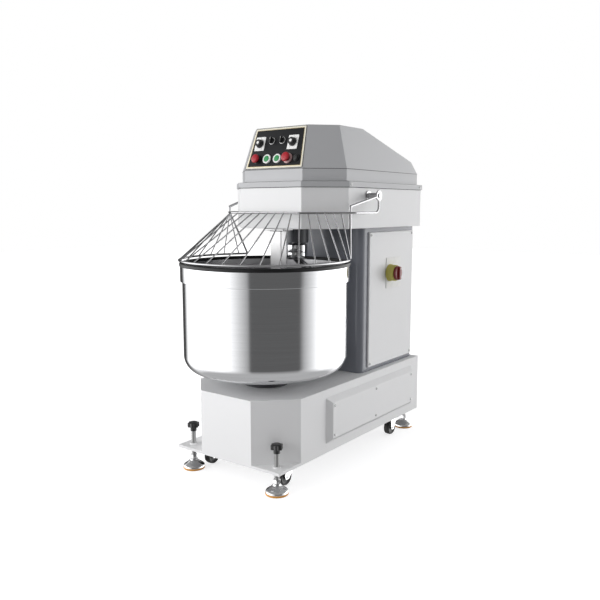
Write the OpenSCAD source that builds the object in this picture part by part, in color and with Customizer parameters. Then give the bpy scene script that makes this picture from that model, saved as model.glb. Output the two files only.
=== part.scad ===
// Spiral dough mixer, free standing, with a fixed bowl, a wire guard and levelling feet.
// Millimetres, +Z up, the front faces -Y, the floor is z = 0.

/* [Base] */
// Width of the base box
base_w = 550; // [540:5:560]
// Front face of the base, behind the bowl's front edge
base_front = -516; // [-525:1:-505]
// Rear face of the base
base_rear = 619; // [610:1:625]
// Leg of the 45 degree cut on the two front corners
base_cut = 140; // [130:1:145]
// Underside of the base above the floor
base_z = 95; // [94:1:96]
// Top of the base
base_top = 368; // [366:1:370]
// Thickness of the sheet in the casings
sheet = 3; // [2:0.5:4]

/* [Column and head] */
// Width of the column
column_w = 490; // [480:2:494]
// Front face of the column
column_front = 113; // [112:1:118]
// Rear face of the column
column_rear = 585; // [575:1:590]
// Underside of the head
head_z = 1026; // [1024:1:1028]
// Width of the head
head_w = 604; // [596:2:606]
// Front face of the head
head_front = -225; // [-228:1:-220]
// Rear face of the head
head_rear = 553; // [545:1:560]
// Leg of the 45 degree cut on the head's front corners
head_cut = 138; // [134:1:142]
// Bottom edge of the flanged deck under the top cover
deck_z = 1197; // [1195:1:1199]
// Top of the deck
deck_top = 1220; // [1218:1:1222]
// Height of the upright collar of the top cover
collar_h = 52; // [48:1:56]
// Height of the sloping part of the top cover
slope_h = 180; // [170:1:185]

/* [Bowl] */
// Outer radius of the bowl
bowl_r = 346; // [344:1:347]
// Distance of the bowl's axis in front of the centre
bowl_axis = 257.5; // [256:0.5:259]
// Lowest outer point of the bowl
bowl_z = 390; // [389:1:392]
// Top of the bowl's rim
bowl_top = 890; // [886:1:891]
// Thickness of the bowl's wall
bowl_t = 3; // [2:0.5:4]
// Radius of the knuckle between wall and floor
knuckle_r = 70; // [60:2:80]

/* [Tool] */
// Distance of the spiral's axis in front of the centre
spiral_axis = 35; // [34:0.5:36]
// Radius from the spiral's axis to the middle of its bar
spiral_r = 80; // [76:1:84]
// Diameter of the spiral's bar
spiral_bar = 32; // [26:1:32]
// Turns of the spiral
spiral_turns = 1.45; // [1.1:0.05:1.6]
// Lower end of the spiral
spiral_low = 478; // [474:1:520]
// Width of the breaker bar
breaker_w = 60; // [50:1:62]
// Lower end of the breaker bar
breaker_low = 440; // [435:1:520]

/* [Guard] */
// Radius of the guard's lower ring
ring_r = 357; // [356:0.5:358]
// Height of the ring's middle
ring_z = 900; // [899:1:902]
// Diameter of the ring and of the upper rod
rod_d = 9; // [8:0.5:10]
// Diameter of the guard's wires
wire_d = 5.5; // [4:0.5:6]
// Angle between two wires at the ring
wire_step = 12; // [12:1:12]
// Height of the upper rod's middle
upper_z = 1092; // [1090:1:1094]
// Height of the guard's pivot
pivot_z = 1163; // [1161:1:1165]
// Distance of the guard's pivot behind the centre
pivot_y = 65; // [63:1:67]

/* [Controls] */
// Distance from knob column to knob column
button_pitch = 55; // [52:1:56]
// Diameter of the mushroom heads
mushroom_d = 40; // [34:1:42]

/* [Feet and casters] */
// Diameter of a foot's pad
pad_d = 92; // [84:1:92]
// Diameter of the levelling screw
screw_d = 20; // [18:1:20]
// Diameter of a caster's wheel
wheel_d = 71; // [66:1:71]
// Gap between the wheels and the floor when the mixer stands on its feet
wheel_gap = 3; // [2:0.5:4]

/* [Hidden] */
$fn = 96;

eps = 0.01;
fit = 0.05;               // radial clearance of every running fit
body_white = "#e4e5e7";
cover_gray = "#9a9da2";
column_gray = "#7d8087";
steel = "#d4d6d9";
dark = "#3a3b3e";
black = "#161616";

// where things stand
motor_y = 350;            // axis of the spiral's motor
bowl_motor_y = 330;       // axis of the bowl's motor
collar_top = deck_top + collar_h;
cover_top = collar_top + slope_h;
collar_w = 568;
collar_front = -204;
collar_rear = 546;
collar_cut = 130;
face_lean = 61 / 180;     // how far the control face leans back for each mm of height
side_lean = 0.3;          // how far each side leans in for each mm of height
corner_lean = 79 / 180;   // the same for the cut corners, measured as x - y
lean_angle = atan(face_lean);
front_foot = [229, -471];
rear_foot = [222, 573];
front_swivel = [200, -365];
rear_wheel = [230, 418];
wheel_trail = 25;
wheel_z = wheel_gap + wheel_d / 2;
wheel_w = 28;
axle_r = 4;

// ---------- shared outlines ----------

// rectangle with its two front corners cut at 45 degrees, drawn t inside the given lines
module cut_outline(w, front, rear, cut, t = 0) {
    h = w / 2 - t;
    c = cut - t * (2 - sqrt(2));
    polygon([[h - c, front + t], [h, front + t + c], [h, rear - t],
             [-h, rear - t], [-h, front + t + c], [-h + c, front + t]]);
}

// closed sheet box over an outline: child 0 is the outside, child 1 the inside
module sheet_box(z0, z1, floor_t, roof_t) {
    difference() {
        translate([0, 0, z0]) linear_extrude(z1 - z0) children(0);
        translate([0, 0, z0 + floor_t]) linear_extrude(z1 - z0 - floor_t - roof_t) children(1);
    }
}

// shallow pan with bevelled sides, its open side at z = 0
module pan_solid(l, h, d, bevel) {
    intersection() {
        rotate([90, 0, 0]) linear_extrude(h, center = true)
            polygon([[-l / 2, 0], [l / 2, 0], [l / 2 - bevel, d], [bevel - l / 2, d]]);
        rotate([90, 0, 90]) linear_extrude(l, center = true)
            polygon([[-h / 2, 0], [h / 2, 0], [h / 2 - bevel, d], [bevel - h / 2, d]]);
    }
}

module pan(l, h, d, bevel, t = 2) {
    difference() {
        pan_solid(l, h, d, bevel);
        translate([0, 0, -t]) pan_solid(l - 2 * t, h - 2 * t, d, bevel);
    }
}

// puts a pan on the right side wall (x = wall), its length along Y
module on_right(wall, y, z) {
    translate([wall, y, z]) rotate([90, 0, 90]) children();
}

module pan_head(r = 6, h = 3) {
    cylinder(r = r, h = h);
}

module both_sides() {
    children();
    mirror([1, 0, 0]) children();
}

// round bar between two points
module bar(a, b, d) {
    v = b - a;
    l = norm(v);
    translate(a) rotate([0, acos(v.z / l), atan2(v.y, v.x)]) cylinder(d = d, h = l);
}

module tube(outer, inner, h) {
    difference() {
        cylinder(r = outer, h = h);
        translate([0, 0, -eps]) cylinder(r = inner, h = h + 2 * eps);
    }
}

// outline of a belt round two pulleys, the first at the origin and the second along +Y
module belt_outline(r1, r2, d) {
    hull() {
        circle(r = r1);
        translate([0, d]) circle(r = r2);
    }
}

// ---------- base ----------

cover_len = 743;          // pressed cover on each side of the base
cover_high = 197;
cover_y = 168.5;
cover_z = 234.5;
cover_d = 23;
cover_bevel = 22;

module base_casing() color(body_white) difference() {
    union() {
        sheet_box(base_z, base_top, sheet, sheet) {
            cut_outline(base_w, base_front, base_rear, base_cut);
            cut_outline(base_w, base_front, base_rear, base_cut, sheet);
        }
        both_sides() translate([rear_foot.x, rear_foot.y, base_z]) cylinder(r = 19, h = 22);
    }
    both_sides() translate([rear_foot.x, rear_foot.y, base_z - eps])
        cylinder(r = screw_d / 2 + fit, h = 30);
    translate([0, -bowl_axis, base_top - 20]) cylinder(r = 60, h = 40);
}

module base_cover_right() color(body_white)
    on_right(base_w / 2, cover_y, cover_z) pan(cover_len, cover_high, cover_d, cover_bevel);

module base_cover_left() mirror([1, 0, 0]) base_cover_right();

bracket_t = 12;

module foot_brackets() color(body_white) both_sides() difference() {
    union() {
        translate([0, 0, base_z]) linear_extrude(bracket_t)
            polygon([[base_w / 2 - base_cut, base_front], [base_w / 2, base_front],
                     [base_w / 2, base_front + base_cut]]);
        translate([front_foot.x, front_foot.y, base_z]) cylinder(r = 16, h = bracket_t + 6);
    }
    translate([front_foot.x, front_foot.y, base_z - eps])
        cylinder(r = screw_d / 2 + fit, h = bracket_t + 7);
}

// ---------- column ----------

side_cover = [409, 616];  // length along Y and height of the column's side cover
side_cover_y = 372.5;
side_cover_z = 696;
side_cover_d = 8;
corner_r = 30;

module column_outline(t = 0) {
    h = column_w / 2 - t;
    r = corner_r - t;
    front = column_front + t;
    rear = column_rear - t;
    for (s = [-1, 1]) translate([s * (h - r), front + r]) circle(r = r);
    translate([r - h, front]) square([2 * (h - r), rear - front]);
    translate([-h, front + r]) square([2 * h, rear - front - r]);
}

module column_casing() color(column_gray) difference() {
    sheet_box(base_top, head_z, sheet, sheet) {
        column_outline();
        column_outline(sheet);
    }
    translate([0, motor_y, head_z - 10]) cylinder(r = 30, h = 20);
    translate([gland.x, column_rear + eps, gland.y]) rotate([90, 0, 0]) cylinder(r = 12.5, h = 10);
}

module column_cover_right() color(body_white)
    on_right(column_w / 2, side_cover_y, side_cover_z)
        pan(side_cover[0], side_cover[1], side_cover_d, 1.5);

module column_cover_left() mirror([1, 0, 0]) column_cover_right();

rear_cover = [430, 520];
rear_cover_z = 740;
vent_rows = 9;

module column_rear_cover() color(body_white)
    translate([0, column_rear, rear_cover_z]) rotate([90, 0, 180]) difference() {
        pan(rear_cover[0], rear_cover[1], side_cover_d, 1.5);
        for (x = [-75, 75], i = [0 : vent_rows - 1])
            translate([x, 60 + i * 18, 0]) cube([110, 5, 40], center = true);
    }

gland = [150, 420];       // across and above the floor, on the column's rear

module cable_gland() color(dark) translate([gland.x, column_rear - 15, gland.y])
    rotate([-90, 0, 0]) difference() {
        union() {
            cylinder(r = 12.5, h = 15);
            translate([0, 0, 15]) cylinder(r = 18, h = 8, $fn = 6);
            translate([0, 0, 23]) cylinder(r1 = 15, r2 = 11, h = 11);
        }
        translate([0, 0, -eps]) cylinder(r = 6.5, h = 34 + 2 * eps);
    }

// fixing screws of every cover
module cover_screws() color(steel) {
    both_sides() {
        on_right(base_w / 2 + cover_d, cover_y, cover_z)
            for (x = [-1, 0, 1], y = [-1, 1])
                translate([x * (cover_len / 2 - cover_bevel - 14), y * (cover_high / 2 - cover_bevel - 14), 0])
                    pan_head();
        on_right(column_w / 2 + side_cover_d, side_cover_y, side_cover_z)
            for (x = [-1, 1], y = [-1, 1])
                translate([x * (side_cover[0] / 2 - 14), y * (side_cover[1] / 2 - 14), 0]) pan_head();
        on_right(head_w / 2 + 5, 0, deck_z + 11)
            for (y = [head_front + head_cut + 13, head_rear - 22]) translate([y, 0, 0]) pan_head();
    }
    translate([0, column_rear + side_cover_d, rear_cover_z]) rotate([90, 0, 180])
        for (x = [-1, 1], y = [-1, 0, 1])
            translate([x * (rear_cover[0] / 2 - 14), y * (rear_cover[1] / 2 - 14), 0]) pan_head();
}

// ---------- head ----------

head_floor = 4;

module head_housing() color(body_white) difference() {
    sheet_box(head_z, deck_z, head_floor, -1) {
        cut_outline(head_w, head_front, head_rear, head_cut);
        cut_outline(head_w, head_front, head_rear, head_cut, sheet);
    }
    translate([0, -spiral_axis, head_z - 5]) cylinder(r = 50, h = 20);
    translate([0, motor_y, head_z - 5]) cylinder(r = 30, h = 20);
}

module head_deck() color(cover_gray) difference() {
    translate([0, 0, deck_z]) linear_extrude(deck_top - deck_z)
        cut_outline(head_w, head_front, head_rear, head_cut, -5);
    translate([0, 0, deck_z - 1]) linear_extrude(deck_top - deck_z - sheet + 1)
        cut_outline(head_w, head_front, head_rear, head_cut, sheet);
}

// solid under the top cover's skin, t inside its outer faces
module cover_solid(t = 0) {
    h = collar_w / 2 - t;
    front = collar_front + t;
    rear = collar_rear - t;
    roof = cover_top - t;
    rise = roof - collar_top;
    corner = collar_w / 2 - collar_cut - collar_front - t * sqrt(2);
    linear_extrude_from(deck_top, collar_top)
        cut_outline(collar_w, collar_front, collar_rear, collar_cut, t);
    intersection() {
        rotate([90, 0, 90]) linear_extrude(2 * h, center = true)
            polygon([[front, collar_top - 1], [front, collar_top],
                     [front + face_lean * rise, roof], [133 - t / 3, roof],
                     [514 - t, collar_top + 55 - t / 2], [rear, collar_top], [rear, collar_top - 1]]);
        translate([0, collar_rear + 1, 0]) rotate([90, 0, 0]) linear_extrude(1000)
            polygon([[-h, collar_top - 1], [h, collar_top - 1], [h, collar_top],
                     [h - side_lean * rise, roof], [side_lean * rise - h, roof], [-h, collar_top]]);
        corner_wedge(corner, rise, roof);
        mirror([1, 0, 0]) corner_wedge(corner, rise, roof);
    }
}

// everything behind the sloping face of the right front corner
module corner_wedge(corner, rise, roof) {
    rotate([0, 0, 45]) rotate([90, 0, 90]) linear_extrude(1400, center = true)
        polygon([[-corner / sqrt(2), collar_top - 1], [-corner / sqrt(2), collar_top],
                 [-(corner - corner_lean * rise) / sqrt(2), roof], [800, roof], [800, collar_top - 1]]);
}

module linear_extrude_from(z0, z1) {
    translate([0, 0, z0]) linear_extrude(z1 - z0) children();
}

module top_cover() color(cover_gray) difference() {
    cover_solid();
    intersection() {
        cover_solid(sheet);
        translate([-400, -400, deck_top - 1]) cube([800, 1200, 400]);
    }
    translate([0, 0, deck_top - 1]) linear_extrude(3)
        cut_outline(collar_w, collar_front, collar_rear, collar_cut, sheet);
    control_holes();
}

// ---------- controls ----------

// local frame on the leaning control face: x across, y up the face, z outwards
module on_face(x, s, h = 0) {
    translate([0, collar_front, collar_top]) rotate([90 - lean_angle, 0, 0])
        translate([x, s, h]) children();
}

panel_t = 2.5;
barrel_r = 11;
row_low = 45;
row_high = 126;
row_timer = 116;
first_x = -94;
timer_x = [-96, 80];
selector_x = [first_x + 62, first_x + 62 + button_pitch];
stop_at = [first_x, row_low];
start_at = [[first_x + button_pitch, row_low], [first_x + 2 * button_pitch, row_low]];
emergency_at = [first_x + 3 * button_pitch, row_low];
jog_at = [114, row_low];
controls = [
    [timer_x[0], row_timer], [timer_x[1], row_timer],
    [selector_x[0], row_high], [selector_x[1], row_high],
    stop_at, start_at[0], start_at[1], emergency_at, jog_at,
];

module control_holes() {
    for (c = controls) on_face(c.x, c.y, -10) cylinder(r = barrel_r, h = 20);
}

module control_panel() color(dark) difference() {
    on_face(0, 0) linear_extrude(panel_t)
        polygon([[-153, 3], [153, 3], [135, 187], [-135, 187]]);
    control_holes();
}

// barrel through the face with a sliding bore for the stem, and a ring on the face
module bezel(ring_r, ring_h, bore_r) {
    difference() {
        union() {
            translate([0, 0, -22]) cylinder(r = barrel_r, h = 22 + panel_t);
            translate([0, 0, panel_t]) cylinder(r = ring_r, h = ring_h);
        }
        translate([0, 0, panel_t]) cylinder(r = bore_r, h = ring_h + 1);
        translate([0, 0, -23]) cylinder(r = 3 + fit, h = 40);
    }
}

module control_bezels() color(steel) {
    for (x = timer_x) on_face(x, row_timer) {
        bezel(15, 1.5, 14);
        translate([-26, -31, panel_t]) difference() {
            cube([52, 62, 1.5]);
            translate([26, 31, -1]) cylinder(r = 15, h = 4);
        }
    }
    for (x = selector_x) on_face(x, row_high) bezel(16, 4, 12.5);
    for (c = start_at) on_face(c.x, c.y) bezel(20, 8, 13.5);
    on_face(stop_at.x, stop_at.y) bezel(19, 5, 12.5);
    on_face(emergency_at.x, emergency_at.y) bezel(22, 6, 12.5);
    on_face(jog_at.x, jog_at.y) bezel(15, 6, 11.5);
}

stem_r = 3;

module stem(top) {
    translate([0, 0, -18]) cylinder(r = stem_r, h = 18 + top);
}

module timer_knob(x) color(black) on_face(x, row_timer) {
    stem(6);
    translate([0, 0, 5]) cylinder(r = 17, h = 17);
    translate([0, 0, 4.6]) cylinder(r = 19, h = 3);
}

module timer_knob_left() timer_knob(timer_x[0]);
module timer_knob_right() timer_knob(timer_x[1]);

module selector_knob(x) color(black) on_face(x, row_high) {
    stem(6);
    translate([0, 0, 4]) cylinder(r = 12, h = 6);
    translate([-4.5, -13, 7]) cube([9, 26, 15]);
}

module selector_knob_left() selector_knob(selector_x[0]);
module selector_knob_right() selector_knob(selector_x[1]);

// push button whose head clears its bezel's floor by its travel
module push_button(at, head_r, head_z, head_h) on_face(at.x, at.y) {
    stem(head_z + 1);
    translate([0, 0, head_z]) cylinder(r = head_r, h = head_h);
}

module mushroom(at, d, low) on_face(at.x, at.y) {
    stem(low + 1);
    translate([0, 0, low - 7]) cylinder(r = 11, h = 9);
    translate([0, 0, low]) cylinder(r = d / 2, h = 8);
    translate([0, 0, low + 8]) cylinder(r1 = d / 2, r2 = d / 2 - 8, h = 5);
}

module stop_button() color("#c0182c") mushroom(stop_at, mushroom_d - 2, 14);
module start_button_left() color("#2f9a48") push_button(start_at[0], 13, 7.5, 5);
module start_button_right() color("#2f9a48") push_button(start_at[1], 13, 7.5, 5);
module emergency_stop() color("#c0182c") mushroom(emergency_at, mushroom_d, 17);
module jog_button() color(black) push_button(jog_at, 11, 7, 6);

// ---------- mains switch on the right side ----------

switch_y = 347;
switch_z = 811;
switch_x = column_w / 2 + side_cover_d;
collar_d = 28;            // depth of the switch's round collar

module at_switch(out) {
    translate([switch_x + out, switch_y, switch_z]) rotate([0, 90, 0]) children();
}

module switch_body() color("#c9b21e") difference() {
    union() {
        translate([switch_x, 316, 738]) cube([3, 138, 144]);
        at_switch(3) cylinder(r = 40, h = 8);
        at_switch(11) cylinder(r = 37.5, h = collar_d);
    }
    at_switch(6) cylinder(r = 5 + fit, h = collar_d + 15);
}

module switch_knob() color("#a01418") {
    at_switch(8) cylinder(r = 5, h = collar_d + 5);
    at_switch(collar_d + 11.5) cylinder(r = 33, h = 12);
    translate([switch_x + collar_d + 23, switch_y - 8, switch_z - 30]) cube([10, 16, 60]);
}

// ---------- bowl ----------

hub_r = 95;               // flat centre of the bowl's floor
knuckle_x = bowl_r - knuckle_r;
knuckle_z = 503;

// slope of the conical floor, tangent to the knuckle and passing through the flat's edge
reach = [knuckle_x - hub_r, knuckle_z - bowl_z];
floor_slope = acos(knuckle_r / norm(reach)) - atan2(reach.x, reach.y);

// one side of the bowl's section, t inside the outer surface, from the axis to the rim
function bowl_side(t) = concat(
    [[0, bowl_z + t], [hub_r, bowl_z + t]],
    [for (i = [0 : 12]) let (a = -90 + floor_slope + (90 - floor_slope) * i / 12)
        [knuckle_x + (knuckle_r - t) * cos(a), knuckle_z + (knuckle_r - t) * sin(a)]],
    [[bowl_r - t, bowl_top]]);

module at_bowl() translate([0, -bowl_axis, 0]) children();

module bowl_shell() color(steel) at_bowl() {
    outer = bowl_side(0);
    inner = bowl_side(bowl_t);
    n = len(inner);
    rotate_extrude() polygon(concat(outer, [for (i = [0 : n - 1]) inner[n - 1 - i]]));
    translate([0, 0, 813]) tube(bowl_r + 8, bowl_r, 63);
}

module bowl_rim() color(black) at_bowl() translate([0, 0, 876]) tube(bowl_r + 11, bowl_r, 14);

shaft_r = 25;
flange_top = 380;

module bowl_spindle() color(steel) at_bowl() {
    translate([0, 0, flange_top + 1]) cylinder(r = hub_r, h = bowl_z - flange_top - 1);
    translate([0, 0, 150]) cylinder(r = shaft_r, h = flange_top - 149);
}

// grooved pulley on a shaft
module pulley(r, shaft, h, grooves) {
    pitch = h / grooves;
    difference() {
        cylinder(r = r, h = h);
        translate([0, 0, -1]) cylinder(r = shaft, h = h + 2);
        for (i = [0 : grooves - 1]) translate([0, 0, (i + 0.5) * pitch])
            rotate_extrude() polygon([[r - 8, -3], [r + 1, -5.5], [r + 1, 5.5], [r - 8, 3]]);
    }
}

bowl_belt_z = 178;
bowl_pulley_r = [190, 40];
spiral_belt_z = 1130;
spiral_pulley_r = [150, 45];
belt_h = 34;

module bowl_pulley() color(dark) at_bowl() translate([0, 0, bowl_belt_z])
    pulley(bowl_pulley_r[0], shaft_r, belt_h, 2);

module bowl_motor_pulley() color(dark) translate([0, bowl_motor_y, bowl_belt_z]) {
    pulley(bowl_pulley_r[1], 12, belt_h, 2);
    translate([0, 0, -8]) cylinder(r = 12, h = belt_h + 40);
}

module bowl_bearing_housing() color(dark) at_bowl() difference() {
    union() {
        translate([0, 0, 250]) cylinder(r = 60, h = base_top - 250);
        translate([0, 0, base_top]) cylinder(r = hub_r, h = flange_top - base_top);
    }
    translate([0, 0, 249]) cylinder(r = 45, h = 115);
    translate([0, 0, 360]) cylinder(r = 28, h = 30);
}

// ball bearings in both housings, shown as closed rings
module shaft_bearings() color(steel) {
    for (z = [256, 336]) translate([0, -bowl_axis, z]) tube(45, shaft_r + fit, 25);
    for (z = [972, 1070]) translate([0, -spiral_axis, z]) tube(36, spindle_r + fit, 22);
}

// ---------- spiral ----------

spindle_r = 22.5;
hub_low = 886;
hub_top = 957;

module at_spiral() translate([0, -spiral_axis, 0]) children();

module spindle_housing() color(dark) at_spiral() difference() {
    union() {
        translate([0, 0, 960]) cylinder(r = 50, h = 140);
        translate([0, 0, head_z + head_floor]) cylinder(r = 85, h = 12);
    }
    translate([0, 0, 966]) cylinder(r = 36, h = 140);
    translate([0, 0, 955]) cylinder(r = 25, h = 20);
}

module spiral_spindle() color(steel) at_spiral() {
    translate([0, 0, hub_low]) cylinder(r = 45, h = hub_top - hub_low);
    translate([0, 0, hub_top - 1]) cylinder(r = spindle_r, h = 1176 - hub_top);
}

module spiral_pulley() color(dark) at_spiral() translate([0, 0, spiral_belt_z])
    pulley(spiral_pulley_r[0], spindle_r, belt_h, 2);

module spiral_motor_pulley() color(dark) translate([0, motor_y, 0]) {
    translate([0, 0, spiral_belt_z]) pulley(spiral_pulley_r[1], 14, belt_h, 2);
    translate([0, 0, head_z - 20]) cylinder(r = 14, h = spiral_belt_z + belt_h - head_z + 28);
}

belt_gap = 0.5;

module belt_loop(r, d) {
    for (i = [0, 1]) translate([0, 0, (i + 0.5) * belt_h / 2 - 3.5]) linear_extrude(7) difference() {
        belt_outline(r[0] + 3, r[1] + 3, d);
        belt_outline(r[0] + belt_gap, r[1] + belt_gap, d);
    }
}

module drive_belts() color(black) {
    translate([0, -bowl_axis, bowl_belt_z]) belt_loop(bowl_pulley_r, bowl_motor_y + bowl_axis);
    translate([0, -spiral_axis, spiral_belt_z]) belt_loop(spiral_pulley_r, motor_y + spiral_axis);
}

// two flange motors: the spiral's in the column, the bowl's under the base's top plate
module drive_motors() color("#4a5a6a") {
    translate([0, motor_y, 0]) difference() {
        union() {
            translate([0, 0, 700]) cylinder(r = 88, h = 290);
            translate([0, 0, 670]) cylinder(r = 70, h = 31);
            translate([0, 0, 989]) cylinder(r = 110, h = 14);
            translate([80, -45, 780]) cube([50, 90, 110]);
            translate([-130, -130, 1003]) cube([260, 260, head_z - sheet - 1003]);
        }
        translate([0, 0, head_z - 30]) cylinder(r = 14.5, h = 60);
    }
    translate([0, bowl_motor_y, 0]) difference() {
        union() {
            translate([0, 0, 235]) cylinder(r = 70, h = 118);
            translate([0, 0, 352]) cylinder(r = 95, h = base_top - sheet - 352);
            translate([60, -35, 270]) cube([50, 70, 60]);
        }
        translate([0, 0, 230]) cylinder(r = 12.5, h = 30);
    }
}

hook_steps = 84;
hook_sides = 14;

function smooth(t) = let (u = min(max(t, 0), 1)) u * u * (3 - 2 * u);

// middle of the spiral's bar, from the hub (t = 0) to the free end (t = 1)
function hook_at(t) = let (
        r = spiral_r * smooth(t / 0.16) * (1 - 0.3 * smooth((t - 0.8) / 0.2)),
        a = 150 - 360 * spiral_turns * t,
        z = hub_low + 4 - 46 * smooth(t / 0.2) - (hub_low - 42 - spiral_low) * max(0, t - 0.08) / 0.92)
    [r * cos(a), r * sin(a), z];

// points on one ring of the bar, square to its run
function hook_ring(t, k) = let (
        d = hook_at(min(t + 0.004, 1)) - hook_at(max(t - 0.004, 0)),
        u = d / norm(d),
        side = cross(u, [0, 0, 1]),
        across = side / max(norm(side), 0.001),
        lift = cross(across, u),
        a = 360 * k / hook_sides)
    hook_at(t) + spiral_bar / 2 * (cos(a) * across + sin(a) * lift);

module spiral_hook() color(steel) at_spiral() {
    pts = [for (i = [0 : hook_steps], k = [0 : hook_sides - 1]) hook_ring(i / hook_steps, k)];
    quads = [for (i = [0 : hook_steps - 1], k = [0 : hook_sides - 1])
        let (a = i * hook_sides + k, b = i * hook_sides + (k + 1) % hook_sides)
        [a, b, b + hook_sides, a + hook_sides]];
    first = [for (k = [0 : hook_sides - 1]) hook_sides - 1 - k];
    last = [for (k = [0 : hook_sides - 1]) hook_steps * hook_sides + k];
    polyhedron(pts, concat(quads, [first, last]));
    translate(hook_at(1)) sphere(d = spiral_bar - 0.5);
}

module breaker_bar() color(steel) translate([0, -168, 0]) {
    translate([-breaker_w / 2, -20, breaker_low + 12]) cube([breaker_w, 40, head_z - breaker_low - 12]);
    translate([-breaker_w / 2 + 12, -20, breaker_low]) cube([breaker_w - 24, 40, 14]);
    for (s = [-1, 1]) translate([s * (breaker_w / 2 - 12), 20, breaker_low + 12])
        rotate([90, 0, 0]) cylinder(r = 12, h = 40);
    translate([-55, -32, head_z - 10]) cube([110, 64, 10]);
}

// ---------- guard ----------

corner_front = [184, -263];
corner_side = [345, -102];
rear_rod = [355.5, 64];
hub_x = 355.75;
hub_w = 6.5;
ring_end = 126.8;         // half the ring's arc, measured from the front
post_foot = [286, -43];
post_head = [329, -115];
arm_z = 1116;
post_d = rod_d - 0.8;
arm_d = rod_d + 2;
weld = 4;                 // how much wider than its rod a weld is

function on_ring(a) = [ring_r * cos(a - 90), ring_r * sin(a - 90) - bowl_axis, ring_z];

// place along the upper rod: d is the distance past the front corner on side s
function on_diagonal(s, d) = [s * (corner_front.x + d / sqrt(2)), corner_front.y + d / sqrt(2), upper_z];
front_pitch = 2 * corner_front.x / 9;
side_pitch = 34;
first_front = 5;          // wires of the right half of the ring that end on the right diagonal

// upper end of wire k, counted from the ring's right end
function wire_head(k) =
    k < first_front ? on_diagonal(1, (first_front - k) * side_pitch)
    : k <= first_front + 9 ? [corner_front.x - (k - first_front) * front_pitch, corner_front.y, upper_z]
    : on_diagonal(-1, (k - first_front - 9) * 31);

module guard_frame() color(steel) {
    translate([0, -bowl_axis, ring_z]) rotate([0, 0, -90 - ring_end])
        rotate_extrude(angle = 2 * ring_end) translate([ring_r, 0]) circle(d = rod_d);
    bar([-corner_front.x, corner_front.y, upper_z], [corner_front.x, corner_front.y, upper_z], rod_d);
    both_sides() {
        path = [[corner_front.x, corner_front.y, upper_z], [corner_side.x, corner_side.y, upper_z],
                [rear_rod.x, rear_rod.y, upper_z], [rear_rod.x, rear_rod.y, pivot_z - 15]];
        for (i = [0 : 2]) bar(path[i], path[i + 1], rod_d);
        for (i = [0 : 2]) translate(path[i]) sphere(d = rod_d + weld);
        post = [[post_foot.x, post_foot.y, ring_z], [post_head.x, post_head.y, upper_z],
                [post_head.x, post_head.y, arm_z], [hub_x - 0.5, pivot_y - 19, pivot_z - 5]];
        bar(post[0], post[1], post_d);
        translate(post[1]) sphere(d = rod_d + weld);
        bar(post[1], post[2], post_d);
        translate(post[2]) sphere(d = arm_d + weld);
        bar(post[2], post[3], arm_d);
    }
}

module guard_wires() color(steel)
    for (k = [0 : 20]) bar(on_ring(wire_step * (10 - k)), wire_head(k), wire_d);

module guard_hubs() color(steel) both_sides()
    translate([hub_x - hub_w / 2, pivot_y, pivot_z]) rotate([0, 90, 0]) tube(23, 7 + fit, hub_w);

module guard_pivots() color(steel) both_sides()
    translate([head_w / 2, pivot_y, pivot_z]) rotate([0, 90, 0]) {
        cylinder(r = 22, h = 5);
        cylinder(r = 12, h = 50);
        cylinder(r = 7, h = 58);
        translate([0, 0, 57.8]) cylinder(r = 10, h = 2.7);
    }

// ---------- casters ----------

module caster_wheel() color(black) rotate([0, 90, 0]) difference() {
    union() {
        translate([0, 0, -wheel_w / 2 + 3]) cylinder(d = wheel_d, h = wheel_w - 6);
        translate([0, 0, -wheel_w / 2]) cylinder(d1 = wheel_d - 6, d2 = wheel_d, h = 3);
        translate([0, 0, wheel_w / 2 - 3]) cylinder(d1 = wheel_d, d2 = wheel_d - 6, h = 3);
    }
    cylinder(r = axle_r + fit, h = wheel_w + 2, center = true);
}

// two cheeks, a crown and the axle, with the wheel's centre at the origin
module fork(trail) {
    crown = 78 - wheel_z;
    for (s = [-1, 1]) translate([s * (wheel_w / 2 + 3), 0, 0]) rotate([90, 0, 90])
        linear_extrude(3, center = true)
            polygon([[-9, -9], [9, -9], [trail + 20, crown - 8], [trail + 20, crown],
                     [trail - 22, crown], [-16, 10]]);
    translate([-wheel_w / 2 - 4.5, trail - 22, crown - 3]) cube([wheel_w + 9, 42, 3]);
    rotate([0, 90, 0]) cylinder(r = axle_r, h = wheel_w + 16, center = true);
}

module front_fork() color(steel) translate([front_swivel.x, front_swivel.y - wheel_trail, wheel_z]) {
    fork(wheel_trail);
    translate([0, wheel_trail, 78 - wheel_z]) cylinder(r = 21, h = 9);
    translate([0, wheel_trail, 78 - wheel_z]) cylinder(r = 6, h = base_z - 79);
}

module caster_fork_right() front_fork();
module caster_fork_left() mirror([1, 0, 0]) front_fork();

// fixed plates of all casters and the rigid rear forks
module caster_mounts() color(steel) both_sides() {
    translate([front_swivel.x, front_swivel.y, base_z - 6]) difference() {
        union() {
            translate([-38, -38, 2]) cube([76, 76, 4]);
            cylinder(r = 24, h = 3);
        }
        translate([0, 0, -1]) cylinder(r = 6 + fit, h = 8);
    }
    translate([rear_wheel.x, rear_wheel.y, wheel_z]) {
        fork(10);
        translate([-20, -20, 78 - wheel_z]) cube([40, 60, base_z - 4 - 78]);
        translate([-35, -38, base_z - 4 - wheel_z]) cube([70, 96, 4]);
    }
}

module front_wheel_right() translate([front_swivel.x, front_swivel.y - wheel_trail, wheel_z]) caster_wheel();
module front_wheel_left() mirror([1, 0, 0]) front_wheel_right();
module rear_wheel_right() translate([rear_wheel.x, rear_wheel.y, wheel_z]) caster_wheel();
module rear_wheel_left() mirror([1, 0, 0]) rear_wheel_right();

// ---------- levelling feet ----------

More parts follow.
